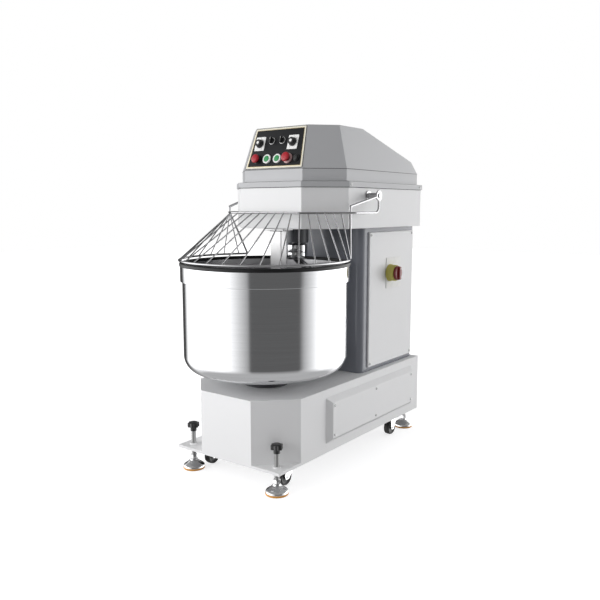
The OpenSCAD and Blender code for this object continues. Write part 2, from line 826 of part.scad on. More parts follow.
// pad, domed cup and hub, centred on the screw's axis
module foot_pad() {
    cylinder(d = pad_d, h = 8);
    translate([0, 0, 8]) cylinder(d = pad_d - 2, h = 7);
    translate([0, 0, 15]) cylinder(d1 = pad_d - 2, d2 = 40, h = 20);
    translate([0, 0, 35]) cylinder(d1 = 34, d2 = 28, h = 8);
}

hub_nut_z = 43;
hub_nut_h = 17;

module front_foot_right() color(steel) translate([front_foot.x, front_foot.y, 0]) difference() {
    foot_pad();
    translate([0, 0, 28]) cylinder(r = screw_d / 2 - 2 + fit, h = 30);
}
module front_foot_left() mirror([1, 0, 0]) front_foot_right();

// screw with its hexagon collar and a turned pivot that sits in the pad
module foot_screw_right() color(steel) translate([front_foot.x, front_foot.y, 0]) {
    translate([0, 0, 28.5]) cylinder(r = screw_d / 2 - 2, h = 20);
    translate([0, 0, hub_nut_z + 0.5]) cylinder(r = 15, h = hub_nut_h, $fn = 6);
    translate([0, 0, hub_nut_z + 5]) cylinder(d = screw_d, h = 165 - hub_nut_z - 5);
}
module foot_screw_left() mirror([1, 0, 0]) foot_screw_right();

lobes = 6;

module foot_knob_right() color(black) translate([front_foot.x, front_foot.y, 165]) {
    cylinder(r = 13, h = 17.5);
    translate([0, 0, 17]) linear_extrude(20) {
        circle(r = 20);
        for (i = [0 : lobes - 1]) rotate(i * 360 / lobes) translate([17.5, 0]) circle(r = 8);
    }
    translate([0, 0, 36.5]) cylinder(r = 17, h = 2.5);
}
module foot_knob_left() mirror([1, 0, 0]) foot_knob_right();

module rear_foot_right() color(steel) translate([rear_foot.x, rear_foot.y, 0]) {
    foot_pad();
    translate([0, 0, hub_nut_z]) cylinder(r = 15, h = hub_nut_h, $fn = 6);
    translate([0, 0, hub_nut_z + 5]) cylinder(d = screw_d, h = 120);
}
module rear_foot_left() mirror([1, 0, 0]) rear_foot_right();

base_casing();
base_cover_right();
base_cover_left();
foot_brackets();
column_casing();
column_cover_right();
column_cover_left();
column_rear_cover();
cover_screws();
head_housing();
head_deck();
top_cover();
control_panel();
control_bezels();
spindle_housing();
breaker_bar();
guard_pivots();
switch_body();
caster_mounts();
drive_motors();
drive_belts();
bowl_bearing_housing();
shaft_bearings();
cable_gland();
bowl_shell();
bowl_rim();
bowl_spindle();
bowl_pulley();
spiral_hook();
spiral_spindle();
spiral_pulley();
spiral_motor_pulley();
bowl_motor_pulley();
guard_frame();
guard_wires();
guard_hubs();
timer_knob_left();
timer_knob_right();
selector_knob_left();
selector_knob_right();
stop_button();
start_button_left();
start_button_right();
emergency_stop();
jog_button();
switch_knob();
caster_fork_right();
caster_fork_left();
front_wheel_right();
front_wheel_left();
rear_wheel_right();
rear_wheel_left();
front_foot_right();
front_foot_left();
foot_screw_right();
foot_screw_left();
foot_knob_right();
foot_knob_left();
rear_foot_right();
rear_foot_left();
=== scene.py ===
import math

import bmesh
import bpy
from mathutils import Matrix, Vector


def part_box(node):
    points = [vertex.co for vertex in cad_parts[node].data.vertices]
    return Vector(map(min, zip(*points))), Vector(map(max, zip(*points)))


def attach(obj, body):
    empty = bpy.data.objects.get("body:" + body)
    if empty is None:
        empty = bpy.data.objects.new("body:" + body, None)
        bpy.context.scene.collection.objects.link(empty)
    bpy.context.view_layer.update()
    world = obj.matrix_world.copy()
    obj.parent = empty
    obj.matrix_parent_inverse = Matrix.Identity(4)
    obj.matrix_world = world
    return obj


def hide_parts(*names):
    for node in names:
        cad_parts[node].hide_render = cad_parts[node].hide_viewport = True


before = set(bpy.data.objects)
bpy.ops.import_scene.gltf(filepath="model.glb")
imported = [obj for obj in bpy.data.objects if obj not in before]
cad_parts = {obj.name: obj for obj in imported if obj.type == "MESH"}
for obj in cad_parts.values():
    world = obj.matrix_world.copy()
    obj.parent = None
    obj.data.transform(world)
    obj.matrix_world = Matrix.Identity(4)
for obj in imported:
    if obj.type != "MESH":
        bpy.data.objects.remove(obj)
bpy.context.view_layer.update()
scene = bpy.context.scene

# ---- Studio ----
# The mixer stands on a pale floor in a white studio. A wide soft wall of light stands at its
# front left and another at its right rear, with a dark gap between them.
camera = bpy.data.objects.new("camera", bpy.data.cameras.new("camera"))
scene.collection.objects.link(camera)
camera.location = (1.8333, -2.4640, 1.1167)
camera.rotation_euler = (math.radians(90 - 7.7653), 0, math.radians(36.8098))
camera.data.lens = 41.0
camera.data.sensor_width = 36.0
camera.data.clip_end = 60
scene.camera = camera
scene.view_settings.view_transform = "Standard"


def node(tree, kind, **settings):
    made = tree.nodes.new(kind)
    for key, value in settings.items():
        setattr(made, key, value)
    return made


def math_node(tree, operation, a, b=None, clamp=False):
    made = node(tree, "ShaderNodeMath", operation=operation, use_clamp=clamp)
    for place, value in enumerate((a, b)):
        if isinstance(value, (int, float)):
            made.inputs[place].default_value = value
        elif value is not None:
            tree.links.new(value, made.inputs[place])
    return made.outputs[0]


def ramp(tree, value, stops):
    """Gray or coloured ramp; stops are (place, gray or colour)."""
    made = node(tree, "ShaderNodeValToRGB")
    points = made.color_ramp.elements
    while len(points) < len(stops):
        points.new(0.5)
    for point, (place, tone) in zip(points, stops):
        point.position = place
        point.color = (*tone, 1) if isinstance(tone, tuple) else (tone, tone, tone, 1)
    tree.links.new(value, made.inputs[0])
    return made.outputs[0]


# brightness of the studio's walls by compass angle, in degrees from the front towards the right
WALLS = [(-180, 2.0), (-168, 1.6), (-160, 0.05), (-107, 0.05), (-90, 1.5), (-70, 2.0), (-32, 1.75),
         (-10, 1.1), (4, 0.65), (16, 0.34), (19, 0.1), (86, 0.1), (93, 0.41), (104, 0.72),
         (114, 1.1), (130, 2.0), (180, 2.0)]
WALL_PEAK = 2.0
WALL_STRENGTH = 1.55
CEILING = 0.13
BELOW = 0.2

world = bpy.data.worlds.new("studio")
scene.world = world
world.use_nodes = True
sky = world.node_tree
sky.nodes.clear()
way = node(sky, "ShaderNodeSeparateXYZ")
sky.links.new(node(sky, "ShaderNodeTexCoord").outputs["Generated"], way.inputs[0])
turn = math_node(sky, "ARCTAN2", way.outputs[0], math_node(sky, "MULTIPLY", way.outputs[1], -1.0))
turn = math_node(sky, "MULTIPLY_ADD", turn, 0.5 / math.pi)
turn.node.inputs[2].default_value = 0.5
walls = ramp(sky, turn, [((a + 180) / 360, b / WALL_PEAK) for a, b in WALLS])
height = math_node(sky, "MULTIPLY_ADD", way.outputs[2], 0.5)
height.node.inputs[2].default_value = 0.5
light = walls
for share, tone in (([(0.62, 0.0), (0.80, 1.0)], CEILING), ([(0.18, 1.0), (0.34, 0.0)], BELOW)):
    blend = node(sky, "ShaderNodeMix", data_type="RGBA")
    sky.links.new(ramp(sky, height, share), blend.inputs["Factor"])
    sky.links.new(light, blend.inputs["A"])
    blend.inputs["B"].default_value = (tone, tone, tone, 1)
    light = blend.outputs["Result"]
lit = node(sky, "ShaderNodeBackground")
lit.inputs["Strength"].default_value = WALL_PEAK * WALL_STRENGTH
sky.links.new(light, lit.inputs["Color"])
seen = node(sky, "ShaderNodeBackground")
seen.inputs["Strength"].default_value = 1.0
seen.inputs["Color"].default_value = (1, 1, 1, 1)
pick = node(sky, "ShaderNodeMixShader")
sky.links.new(node(sky, "ShaderNodeLightPath").outputs["Is Camera Ray"], pick.inputs[0])
sky.links.new(lit.outputs[0], pick.inputs[1])
sky.links.new(seen.outputs[0], pick.inputs[2])
sky.links.new(pick.outputs[0], node(sky, "ShaderNodeOutputWorld").inputs[0])

for name, where, energy, wide, tall in (("key", (-1.6, -2.9, 1.5), 37, 1.8, 2.2), ("fill", (2.2, -2.2, 1.7), 2.5, 1.6, 2.0)):
    softbox = bpy.data.objects.new(name, bpy.data.lights.new(name, "AREA"))
    scene.collection.objects.link(softbox)
    softbox.data.shape = "RECTANGLE"
    softbox.data.size = wide
    softbox.data.size_y = tall
    softbox.data.energy = energy
    softbox.location = where
    softbox.rotation_euler = (Vector((0.0, 0.0, 0.8)) - softbox.location).to_track_quat("-Z", "Y").to_euler()
    softbox.visible_glossy = False


def new_object(name, mesh):
    made = bpy.data.objects.new(name, mesh)
    scene.collection.objects.link(made)
    return made


def mesh_from(name, build):
    """An object whose mesh the given function fills in."""
    bm = bmesh.new()
    build(bm)
    mesh = bpy.data.meshes.new(name)
    bm.to_mesh(mesh)
    bm.free()
    return new_object(name, mesh)


def material(name, **sockets):
    """A new material and its principled shader, with plain sockets already set."""
    made = bpy.data.materials.new(name)
    made.use_nodes = True
    shader = made.node_tree.nodes["Principled BSDF"]
    for key, value in sockets.items():
        socket = shader.inputs[key.replace("_", " ")]
        socket.default_value = (*value, 1) if isinstance(value, tuple) else value
    return made, made.node_tree, shader


FLOOR_HALF = 14.0
floor = mesh_from("floor", lambda bm: bmesh.ops.create_grid(bm, x_segments=1, y_segments=1, size=FLOOR_HALF))
floor_paint, tree, shader = material("floor_paint", Base_Color=(0.55, 0.55, 0.56), Roughness=0.9)
spot = node(tree, "ShaderNodeTexCoord").outputs["Object"]
far = node(tree, "ShaderNodeVectorMath", operation="LENGTH")
tree.links.new(spot, far.inputs[0])
glow = ramp(tree, math_node(tree, "MULTIPLY", far.outputs["Value"], 1 / FLOOR_HALF),
            [(0.0, 0.72), (0.07, 0.74), (0.16, 0.98), (1.0, 1.0)])
shown = node(tree, "ShaderNodeLightPath").outputs["Is Camera Ray"]
tree.links.new(math_node(tree, "MULTIPLY", glow, shown), shader.inputs["Emission Strength"])
shader.inputs["Emission Color"].default_value = (1, 1, 1, 1)
floor.data.materials.append(floor_paint)
floor.visible_glossy = False

# ---- Base ----
# The base is a folded and welded box of 3 mm steel sheet with its two front corners cut off,
# sprayed with a light gray powder coat. It carries the bowl in front and the column behind.


def group(name, inputs, outputs):
    """A shader node group with its sockets; returns the group, its input and its output node."""
    made = bpy.data.node_groups.new(name, "ShaderNodeTree")
    for label, kind, value in inputs:
        socket = made.interface.new_socket(label, in_out="INPUT", socket_type=kind)
        socket.default_value = value
    for label, kind in outputs:
        made.interface.new_socket(label, in_out="OUTPUT", socket_type=kind)
    return made, made.nodes.new("NodeGroupInput"), made.nodes.new("NodeGroupOutput")


def noise(tree, where, scale, detail=2.0, stretch=None, roughness=0.5):
    """Noise on object coordinates, from 0 to 1; stretch scales each axis first."""
    made = node(tree, "ShaderNodeTexNoise")
    made.inputs["Detail"].default_value = detail
    made.inputs["Roughness"].default_value = roughness
    if isinstance(scale, (int, float)):
        made.inputs["Scale"].default_value = scale
    else:
        tree.links.new(scale, made.inputs["Scale"])
    if stretch is not None:
        mapping = node(tree, "ShaderNodeMapping")
        mapping.inputs["Scale"].default_value = stretch
        tree.links.new(where, mapping.inputs["Vector"])
        where = mapping.outputs["Vector"]
    tree.links.new(where, made.inputs["Vector"])
    return made.outputs["Fac"]


def bump(tree, height, strength, distance):
    made = node(tree, "ShaderNodeBump")
    made.inputs["Distance"].default_value = distance
    if isinstance(strength, (int, float)):
        made.inputs["Strength"].default_value = strength
    else:
        tree.links.new(strength, made.inputs["Strength"])
    tree.links.new(height, made.inputs["Height"])
    return made.outputs["Normal"]


def mix_colour(tree, factor, a, b, blend="MIX"):
    made = node(tree, "ShaderNodeMix", data_type="RGBA", blend_type=blend)
    for socket, value in (("Factor", factor), ("A", a), ("B", b)):
        if isinstance(value, tuple):
            made.inputs[socket].default_value = (*value, 1)
        elif isinstance(value, (int, float)):
            made.inputs[socket].default_value = value
        else:
            tree.links.new(value, made.inputs[socket])
    return made.outputs["Result"]


# powder coat: the fine orange peel of the melted powder, faint cloudiness and a film of dust low down
coat, given, result = group(
    "powder_coat",
    [("Color", "NodeSocketColor", (0.8, 0.8, 0.8, 1)), ("Peel Scale", "NodeSocketFloat", 420.0),
     ("Peel Depth", "NodeSocketFloat", 0.12), ("Roughness", "NodeSocketFloat", 0.4)],
    [("Color", "NodeSocketColor"), ("Roughness", "NodeSocketFloat"), ("Normal", "NodeSocketVector")])
where = node(coat, "ShaderNodeTexCoord").outputs["Object"]
clouds = noise(coat, where, 2.6, 3.0)
speckle = noise(coat, where, 900.0, 1.0)
low = node(coat, "ShaderNodeSeparateXYZ")
coat.links.new(where, low.inputs[0])
dust = ramp(coat, low.outputs[2], [(0.09, 1.0), (0.32, 0.0)])
dust = math_node(coat, "MULTIPLY", dust, noise(coat, where, 9.0, 4.0))
tone = mix_colour(coat, 1.0, given.outputs["Color"], ramp(coat, clouds, [(0.3, 0.965), (0.7, 1.0)]), "MULTIPLY")
tone = mix_colour(coat, 1.0, tone, ramp(coat, speckle, [(0.35, 0.985), (0.6, 1.0)]), "MULTIPLY")
tone = mix_colour(coat, math_node(coat, "MULTIPLY", dust, 0.10), tone, (0.46, 0.44, 0.41))
coat.links.new(tone, result.inputs["Color"])
rough = math_node(coat, "MULTIPLY_ADD", math_node(coat, "SUBTRACT", clouds, 0.5), 0.16)
coat.links.new(given.outputs["Roughness"], rough.node.inputs[2])
coat.links.new(rough, result.inputs["Roughness"])
peel = noise(coat, where, given.outputs["Peel Scale"], 2.0)
coat.links.new(bump(coat, peel, given.outputs["Peel Depth"], 0.0006), result.inputs["Normal"])


def use_group(made, shared, **values):
    """Places a shared group in a material and joins its outputs to the shader's sockets."""
    tree = made.node_tree
    shader = tree.nodes["Principled BSDF"]
    placed = node(tree, "ShaderNodeGroup", node_tree=shared)
    for key, value in values.items():
        socket = placed.inputs[key.replace("_", " ")]
        socket.default_value = (*value, 1) if socket.type == "RGBA" else value
    for output in placed.outputs:
        target = "Base Color" if output.name == "Color" else output.name
        if target in shader.inputs:
            tree.links.new(output, shader.inputs[target])
    return placed


def coated(name, colour, peel=0.12, roughness=0.4):
    made, _, _ = material(name, Specular_IOR_Level=0.45)
    use_group(made, coat, Color=colour, Peel_Depth=peel, Roughness=roughness)
    return made


def smooth(mesh, angle=32):
    mesh.polygons.foreach_set("use_smooth", [True] * len(mesh.polygons))
    mesh.set_sharp_from_angle(angle=math.radians(angle))


def baked(piece):
    """Turns a piece's modifiers into plain mesh."""
    bpy.context.view_layer.update()
    ready = piece.evaluated_get(bpy.context.evaluated_depsgraph_get())
    mesh = bpy.data.meshes.new_from_object(ready)
    piece.modifiers.clear()
    piece.data = mesh
    return piece


def place(piece, body, slot, surface=None, stands_for=()):
    """Gives a finished piece its material and its body, and hides the CAD nodes it stands for. The slot argument is not
    used.
    """
    if surface is not None:
        piece.data.materials.clear()
        piece.data.materials.append(surface)
    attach(piece, body)
    if stands_for:
        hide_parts(*stands_for)
    return piece


def folded(cad_node, name, body, slot, surface, edge=0.0018, steps=3):
    """A copy of a sheet part with its folds rounded to the radius of a real bend."""
    bm = bmesh.new()
    bm.from_mesh(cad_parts[cad_node].data)
    bmesh.ops.remove_doubles(bm, verts=bm.verts, dist=2e-6)
    bmesh.ops.dissolve_limit(bm, angle_limit=math.radians(1.0), verts=bm.verts, edges=bm.edges)
    mesh = bpy.data.meshes.new(name)
    bm.to_mesh(mesh)
    bm.free()
    mesh.materials.clear()
    piece = new_object(name, mesh)
    smooth(mesh, 180)
    bend = piece.modifiers.new("bend", "BEVEL")
    bend.width = edge
    bend.segments = steps
    bend.limit_method = "ANGLE"
    bend.angle_limit = math.radians(28)
    bend.harden_normals = False
    flat = piece.modifiers.new("flat", "WEIGHTED_NORMAL")
    flat.keep_sharp = True
    flat.weight = 100
    baked(piece)
    return place(piece, body, slot, surface, [cad_node])


body_paint = coated("body_paint", (0.865, 0.867, 0.875))
folded("base_casing", "base_box", "machine", "body_paint", body_paint, 0.003)
folded("base_cover_right", "base_side_cover_right", "machine", "body_paint", body_paint, 0.002)
folded("base_cover_left", "base_side_cover_left", "machine", "body_paint", body_paint, 0.002)
folded("foot_brackets", "front_foot_plates", "machine", "body_paint", body_paint, 0.001)

# ---- Column ----
# The column is a second box of the same sheet, with its front corners rolled to a 30 mm radius.
# It is sprayed blue gray. A light gray tray closes each side, and a louvred plate the rear.
column_paint = coated("column_paint", (0.215, 0.225, 0.255), 0.08, 0.24)
folded("column_casing", "column_box", "machine", "column_paint", column_paint, 0.0012)
folded("column_cover_right", "column_side_cover_right", "machine", "body_paint", body_paint, 0.0012)
folded("column_cover_left", "column_side_cover_left", "machine", "body_paint", body_paint, 0.0012)
folded("column_rear_cover", "column_vented_cover", "machine", "body_paint", body_paint, 0.0008, 2)

# ---- Head ----
# The head is a deep tray that holds the spiral's drive. A flanged deck closes it, and a faceted
# cover with an upright collar stands on the deck. Deck and cover are sprayed silver gray.
cover_paint = coated("cover_paint", (0.5, 0.505, 0.52), 0.1, 0.36)
folded("head_housing", "head_box", "machine", "body_paint", body_paint, 0.003)
folded("head_deck", "head_flange", "machine", "cover_paint", cover_paint, 0.0015)
folded("top_cover", "top_hood", "machine", "cover_paint", cover_paint, 0.003)

# ---- Cover screws ----
# Zinc plated button head screws with a hexagon socket. They hold the covers of the base and the
# column, the column's rear cover, and the lip of the deck.
MM = 0.001


def tree_of(name, inputs):
    """A geometry tree with named inputs; returns the tree, its input and its output node."""
    made = bpy.data.node_groups.new(name, "GeometryNodeTree")
    made.interface.new_socket("Geometry", in_out="INPUT", socket_type="NodeSocketGeometry")
    for label, kind, value in inputs:
        socket = made.interface.new_socket(label, in_out="INPUT", socket_type="NodeSocket" + kind)
        if value is not None:
            socket.default_value = value
    made.interface.new_socket("Geometry", in_out="OUTPUT", socket_type="NodeSocketGeometry")
    return made, made.nodes.new("NodeGroupInput"), made.nodes.new("NodeGroupOutput")


def grow(piece, tree, **values):
    """Runs a geometry tree on a piece and keeps the result as plain mesh."""
    live = piece.modifiers.new(tree.name, "NODES")
    live.node_group = tree
    for item in tree.interface.items_tree:
        if item.in_out == "INPUT" and item.name in values:
            live[item.identifier] = values[item.name]
    return baked(piece)


# one copy of a small part on every point, its Z axis along the point's "out"
set_out, given, result = tree_of("set_out", [("Part", "Object", None), ("Material", "Material", None)])
part_info = node(set_out, "GeometryNodeObjectInfo", transform_space="ORIGINAL")
set_out.links.new(given.outputs["Part"], part_info.inputs["Object"])
outward = node(set_out, "GeometryNodeInputNamedAttribute", data_type="FLOAT_VECTOR")
outward.inputs["Name"].default_value = "out"
spin = node(set_out, "GeometryNodeInputNamedAttribute", data_type="FLOAT_VECTOR")
spin.inputs["Name"].default_value = "spin"
spun = node(set_out, "FunctionNodeEulerToRotation")
set_out.links.new(spin.outputs["Attribute"], spun.inputs[0])
facing = node(set_out, "FunctionNodeAlignRotationToVector", axis="Z")
set_out.links.new(spun.outputs[0], facing.inputs["Rotation"])
set_out.links.new(outward.outputs["Attribute"], facing.inputs["Vector"])
copies = node(set_out, "GeometryNodeInstanceOnPoints")
set_out.links.new(given.outputs["Geometry"], copies.inputs["Points"])
set_out.links.new(part_info.outputs["Geometry"], copies.inputs["Instance"])
set_out.links.new(facing.outputs["Rotation"], copies.inputs["Rotation"])
real = node(set_out, "GeometryNodeRealizeInstances")
set_out.links.new(copies.outputs[0], real.inputs[0])
finish = node(set_out, "GeometryNodeSetMaterial")
set_out.links.new(real.outputs[0], finish.inputs["Geometry"])
set_out.links.new(given.outputs["Material"], finish.inputs["Material"])
set_out.links.new(finish.outputs[0], result.inputs["Geometry"])


def set_pieces(name, part, places, surface):
    """Copies of a part at (point, outward direction, spin) places, as one mesh."""
    mesh = bpy.data.meshes.new(name)
    mesh.from_pydata([Vector(p) for p, _, _ in places], [], [])
    for label, pick_value in (("out", lambda p: p[1]), ("spin", lambda p: (0, 0, p[2]))):
        field = mesh.attributes.new(label, "FLOAT_VECTOR", "POINT")
        for item, place_ in zip(field.data, places):
            item.vector = pick_value(place_)
    made = grow(new_object(name, mesh), set_out, Part=part, Material=surface)
    bpy.data.objects.remove(part)
    for label in ("out", "spin"):
        if label in made.data.attributes:
            made.data.attributes.remove(made.data.attributes[label])
    return made


def shell_of_rings(bm, rings, looped=False):
    """Joins rings of points one after another, and the last to the first where looped. A ring of
    one point is a pole, and other end rings are closed with a face."""
    made = [[bm.verts.new(p) for p in ring] for ring in rings]
    for a, b in zip(made, made[1:] + made[:1] if looped else made[1:]):
        count = max(len(a), len(b))
        for k in range(count):
            corners = [a[k % len(a)], a[(k + 1) % len(a)], b[(k + 1) % len(b)], b[k % len(b)]]
            face = list(dict.fromkeys(corners))
            if len(face) > 2:
                bm.faces.new(face)
    for ring in () if looped else (made[0], made[-1]):
        if len(ring) > 2:
            bm.faces.new(ring)
    bmesh.ops.recalc_face_normals(bm, faces=bm.faces)


def circle(r, z, count, wave=None):
    return [((r if wave is None else wave(a, r)) * math.cos(a), (r if wave is None else wave(a, r)) * math.sin(a), z)
            for a in (2 * math.pi * k / count for k in range(count))]


def hexagon(a, r):
    """Distance to the side of a hexagon, r across its corners, in direction a."""
    return r * math.cos(math.pi / 6) / math.cos(a % (math.pi / 3) - math.pi / 6)


# metal group: fine scratches along one axis, faint smudges, and colour that follows them
metal, given, result = group(
    "worked_metal",
    [("Color", "NodeSocketColor", (0.6, 0.6, 0.6, 1)), ("Roughness", "NodeSocketFloat", 0.3),
     ("Grain", "NodeSocketVector", (600.0, 600.0, 12.0)), ("Grain Depth", "NodeSocketFloat", 0.1),
     ("Smudge", "NodeSocketFloat", 0.12)],
    [("Color", "NodeSocketColor"), ("Roughness", "NodeSocketFloat"), ("Normal", "NodeSocketVector")])
where = node(metal, "ShaderNodeTexCoord").outputs["Object"]
stretch = node(metal, "ShaderNodeVectorMath", operation="MULTIPLY")
metal.links.new(where, stretch.inputs[0])
metal.links.new(given.outputs["Grain"], stretch.inputs[1])
lines = noise(metal, stretch.outputs[0], 1.0, 3.0, roughness=0.7)
smudge = noise(metal, where, 7.0, 4.0)
metal.links.new(mix_colour(metal, 1.0, given.outputs["Color"],
                           ramp(metal, lines, [(0.3, 0.93), (0.7, 1.0)]), "MULTIPLY"), result.inputs["Color"])
soft = math_node(metal, "MULTIPLY", math_node(metal, "SUBTRACT", smudge, 0.45), given.outputs["Smudge"])
metal.links.new(math_node(metal, "ADD", given.outputs["Roughness"], soft, clamp=True), result.inputs["Roughness"])
metal.links.new(bump(metal, lines, given.outputs["Grain Depth"], 0.0002), result.inputs["Normal"])


def worked(name, colour, roughness, grain=(600.0, 600.0, 12.0), depth=0.1, smudge=0.12, **sockets):
    made, _, _ = material(name, Metallic=1.0, **sockets)
    use_group(made, metal, Color=colour, Roughness=roughness, Grain=grain, Grain_Depth=depth, Smudge=smudge)
    return made


zinc = worked("zinc_screws", (0.50, 0.50, 0.50), 0.34, (90.0, 90.0, 900.0), 0.08)


def screw_head(bm):
    count = 24
    shell_of_rings(bm, [
        circle(3.1 * MM, 1.3 * MM, count, hexagon), circle(3.3 * MM, 2.7 * MM, count, hexagon),
        circle(3.9 * MM, 2.98 * MM, count), circle(4.7 * MM, 2.85 * MM, count),
        circle(5.5 * MM, 2.2 * MM, count), circle(5.9 * MM, 1.2 * MM, count), circle(6 * MM, 0, count)])


screw_places = []
for side in (-1, 1):
    for along in (-1, 0, 1):
        for up in (-1, 1):
            screw_places.append(((side * 0.298, 0.1685 + along * 0.3355, 0.2345 + up * 0.0625), (side, 0, 0)))
    for along in (-1, 1):
        for up in (-1, 1):
            screw_places.append(((side * 0.253, 0.3725 + along * 0.1905, 0.696 + up * 0.294), (side, 0, 0)))
    for along in (-0.074, 0.531):
        screw_places.append(((side * 0.307, along, 1.208), (side, 0, 0)))
    for up in (-1, 0, 1):
        screw_places.append(((side * 0.201, 0.593, 0.740 + up * 0.246), (0, 1, 0)))
screw = mesh_from("screw", screw_head)
smooth(screw.data, 40)
screws = set_pieces("socket_screws", screw, [(p, d, 1.3 * k) for k, (p, d) in enumerate(screw_places)], zinc)
place(screws, "machine", "dark_steel", None, ["cover_screws"])

# ---- Control panel ----
# A tinted film on a thin aluminium plate with an anodised border, stuck to the leaning face of the
# hood. Timers, selectors and push buttons are clamped through it by their threaded barrels.
LEAN = math.atan(61 / 180)
face = (Matrix.Translation((0, -0.204, 1.272)) @ Matrix.Rotation(math.pi / 2 - LEAN, 4, "X"))


def on_face(x, s, h=0.0):
    """Place on the leaning face in mm: across, up the face, and out of it."""
    return face @ Matrix.Translation((x * MM, s * MM, h * MM))


def eased(outline, radius, steps=3):
    """A flat outline with each corner eased to the given radius."""
    made = [tuple(outline[0])]
    for before, here, after in zip(outline, outline[1:], outline[2:]):
        a, b, c = Vector(before), Vector(here), Vector(after)
        into, out = b - a, c - b
        if into.length < 1e-7 or out.length < 1e-7:
            continue
        if into.angle(out) < 0.2:
            made.append(tuple(b))
            continue
        reach = min(radius, into.length * 0.45, out.length * 0.45)
        start, end = b - into.normalized() * reach, b + out.normalized() * reach
        for k in range(steps + 1):
            t = k / steps
            made.append(tuple((1 - t) ** 2 * start + 2 * t * (1 - t) * b + t * t * end))
    made.append(tuple(outline[-1]))
    return made


def turned(name, outline, at=None, steps=64, ease=0.8, wave=None, sharp=32):
    """A turned part from (radius, height) points in mm: a ring where the last point is the first
    again. at is the matrix that puts its axis in place."""
    rings = []
    looped = outline[0] == outline[-1]
    for r, z in eased([(r * MM, z * MM) for r, z in outline], ease * MM)[:-1 if looped else None]:
        rings.append([(0, 0, z)] if r < 1e-6 else circle(r, z, steps, wave))
    made = mesh_from(name, lambda bm: shell_of_rings(bm, rings, looped))
    if at is not None:
        made.data.transform(at)
    smooth(made.data, sharp)
    return made


def plate(bm, outline, thick, edge=0.0, base=0.0):
    """A flat plate from a closed outline of (x, y), with its front edge bevelled."""
    count = len(outline)
    low = [bm.verts.new((x, y, base)) for x, y in outline]
    high = [bm.verts.new((x, y, base + thick)) for x, y in outline]
    bm.faces.new(low)
    top = bm.faces.new(high)
    for k in range(count):
        bm.faces.new((low[k], low[(k + 1) % count], high[(k + 1) % count], high[k]))
    bmesh.ops.recalc_face_normals(bm, faces=bm.faces)
    if edge:
        bmesh.ops.bevel(bm, geom=list(top.edges), offset=edge, segments=3, affect="EDGES", profile=0.6)


def rounded_outline(corners, radius, steps=5):
    """A closed outline with round corners."""
    looped = [corners[-1]] + list(corners) + [corners[0]]
    return eased(looped, radius, steps)[1:-1]


def flat_piece(name, outline, thick, at, edge=0.0, base=0.0):
    made = mesh_from(name, lambda bm: plate(bm, [(x * MM, y * MM) for x, y in outline], thick * MM,
                                            edge * MM, base * MM))
    made.data.transform(at)
    smooth(made.data, 30)
    return made


def joined(name, pieces):
    """Several meshes made into one piece."""
    bm = bmesh.new()
    surfaces = []
    for piece in pieces:
        old = len(bm.faces)
        bm.from_mesh(piece.data)
        bm.faces.ensure_lookup_table()
        for index in range(old, len(bm.faces)):
            slots = piece.data.materials
            if slots:
                used = slots[min(bm.faces[index].material_index, len(slots) - 1)]
                if used not in surfaces:
                    surfaces.append(used)
                bm.faces[index].material_index = surfaces.index(used)
    mesh = bpy.data.meshes.new(name)
    bm.to_mesh(mesh)
    bm.free()
    for used in surfaces:
        mesh.materials.append(used)
    for piece in pieces:
        bpy.data.objects.remove(piece)
    made = new_object(name, mesh)
    return made


# moulded parts: fine grain, slight colour drift, and paler rubbed patches
mould, given, result = group(
    "moulded",
    [("Color", "NodeSocketColor", (0.1, 0.1, 0.1, 1)), ("Rubbed", "NodeSocketColor", (0.3, 0.3, 0.3, 1)),
     ("Roughness", "NodeSocketFloat", 0.4), ("Grain Scale", "NodeSocketFloat", 1500.0),
     ("Grain Depth", "NodeSocketFloat", 0.1)],
    [("Color", "NodeSocketColor"), ("Roughness", "NodeSocketFloat"), ("Normal", "NodeSocketVector")])
where = node(mould, "ShaderNodeTexCoord").outputs["Object"]
drift = noise(mould, where, 24.0, 3.0)
worn = ramp(mould, noise(mould, where, 60.0, 5.0, roughness=0.65), [(0.56, 0.0), (0.78, 0.35)])
tone = mix_colour(mould, 1.0, given.outputs["Color"], ramp(mould, drift, [(0.3, 0.9), (0.7, 1.0)]), "MULTIPLY")
mould.links.new(mix_colour(mould, worn, tone, given.outputs["Rubbed"]), result.inputs["Color"])
rough = math_node(mould, "MULTIPLY_ADD", math_node(mould, "SUBTRACT", drift, 0.5), 0.2)
mould.links.new(given.outputs["Roughness"], rough.node.inputs[2])
mould.links.new(rough, result.inputs["Roughness"])
grain = noise(mould, where, given.outputs["Grain Scale"], 2.0)
mould.links.new(bump(mould, grain, given.outputs["Grain Depth"], 0.0003), result.inputs["Normal"])


def moulded(name, colour, rubbed=None, roughness=0.38, scale=1500.0, depth=0.1, **sockets):
    made, _, _ = material(name, **sockets)
    rubbed = rubbed or tuple(min(1.0, c * 1.25 + 0.01) for c in colour)
    use_group(made, mould, Color=colour, Rubbed=rubbed, Roughness=roughness, Grain_Scale=scale, Grain_Depth=depth)
    return made


black_plastic = moulded("black_plastic", (0.012, 0.012, 0.013), (0.03, 0.03, 0.03), 0.32)
film = moulded("panel_film", (0.010, 0.0105, 0.012), (0.014, 0.014, 0.015), 0.5, 2400.0, 0.04, Specular_IOR_Level=0.2)
border = worked("gold_border", (0.72, 0.60, 0.36), 0.38, (40.0, 900.0, 900.0), 0.06)
cream = moulded("cream_border", (0.80, 0.77, 0.66), None, 0.45)
white_print = moulded("white_print", (0.90, 0.90, 0.89), (0.86, 0.86, 0.85), 0.45)
outline_black = moulded("border_line", (0.02, 0.02, 0.02), None, 0.5)
PANEL = [(-153, 3), (153, 3), (135, 187), (-135, 187)]


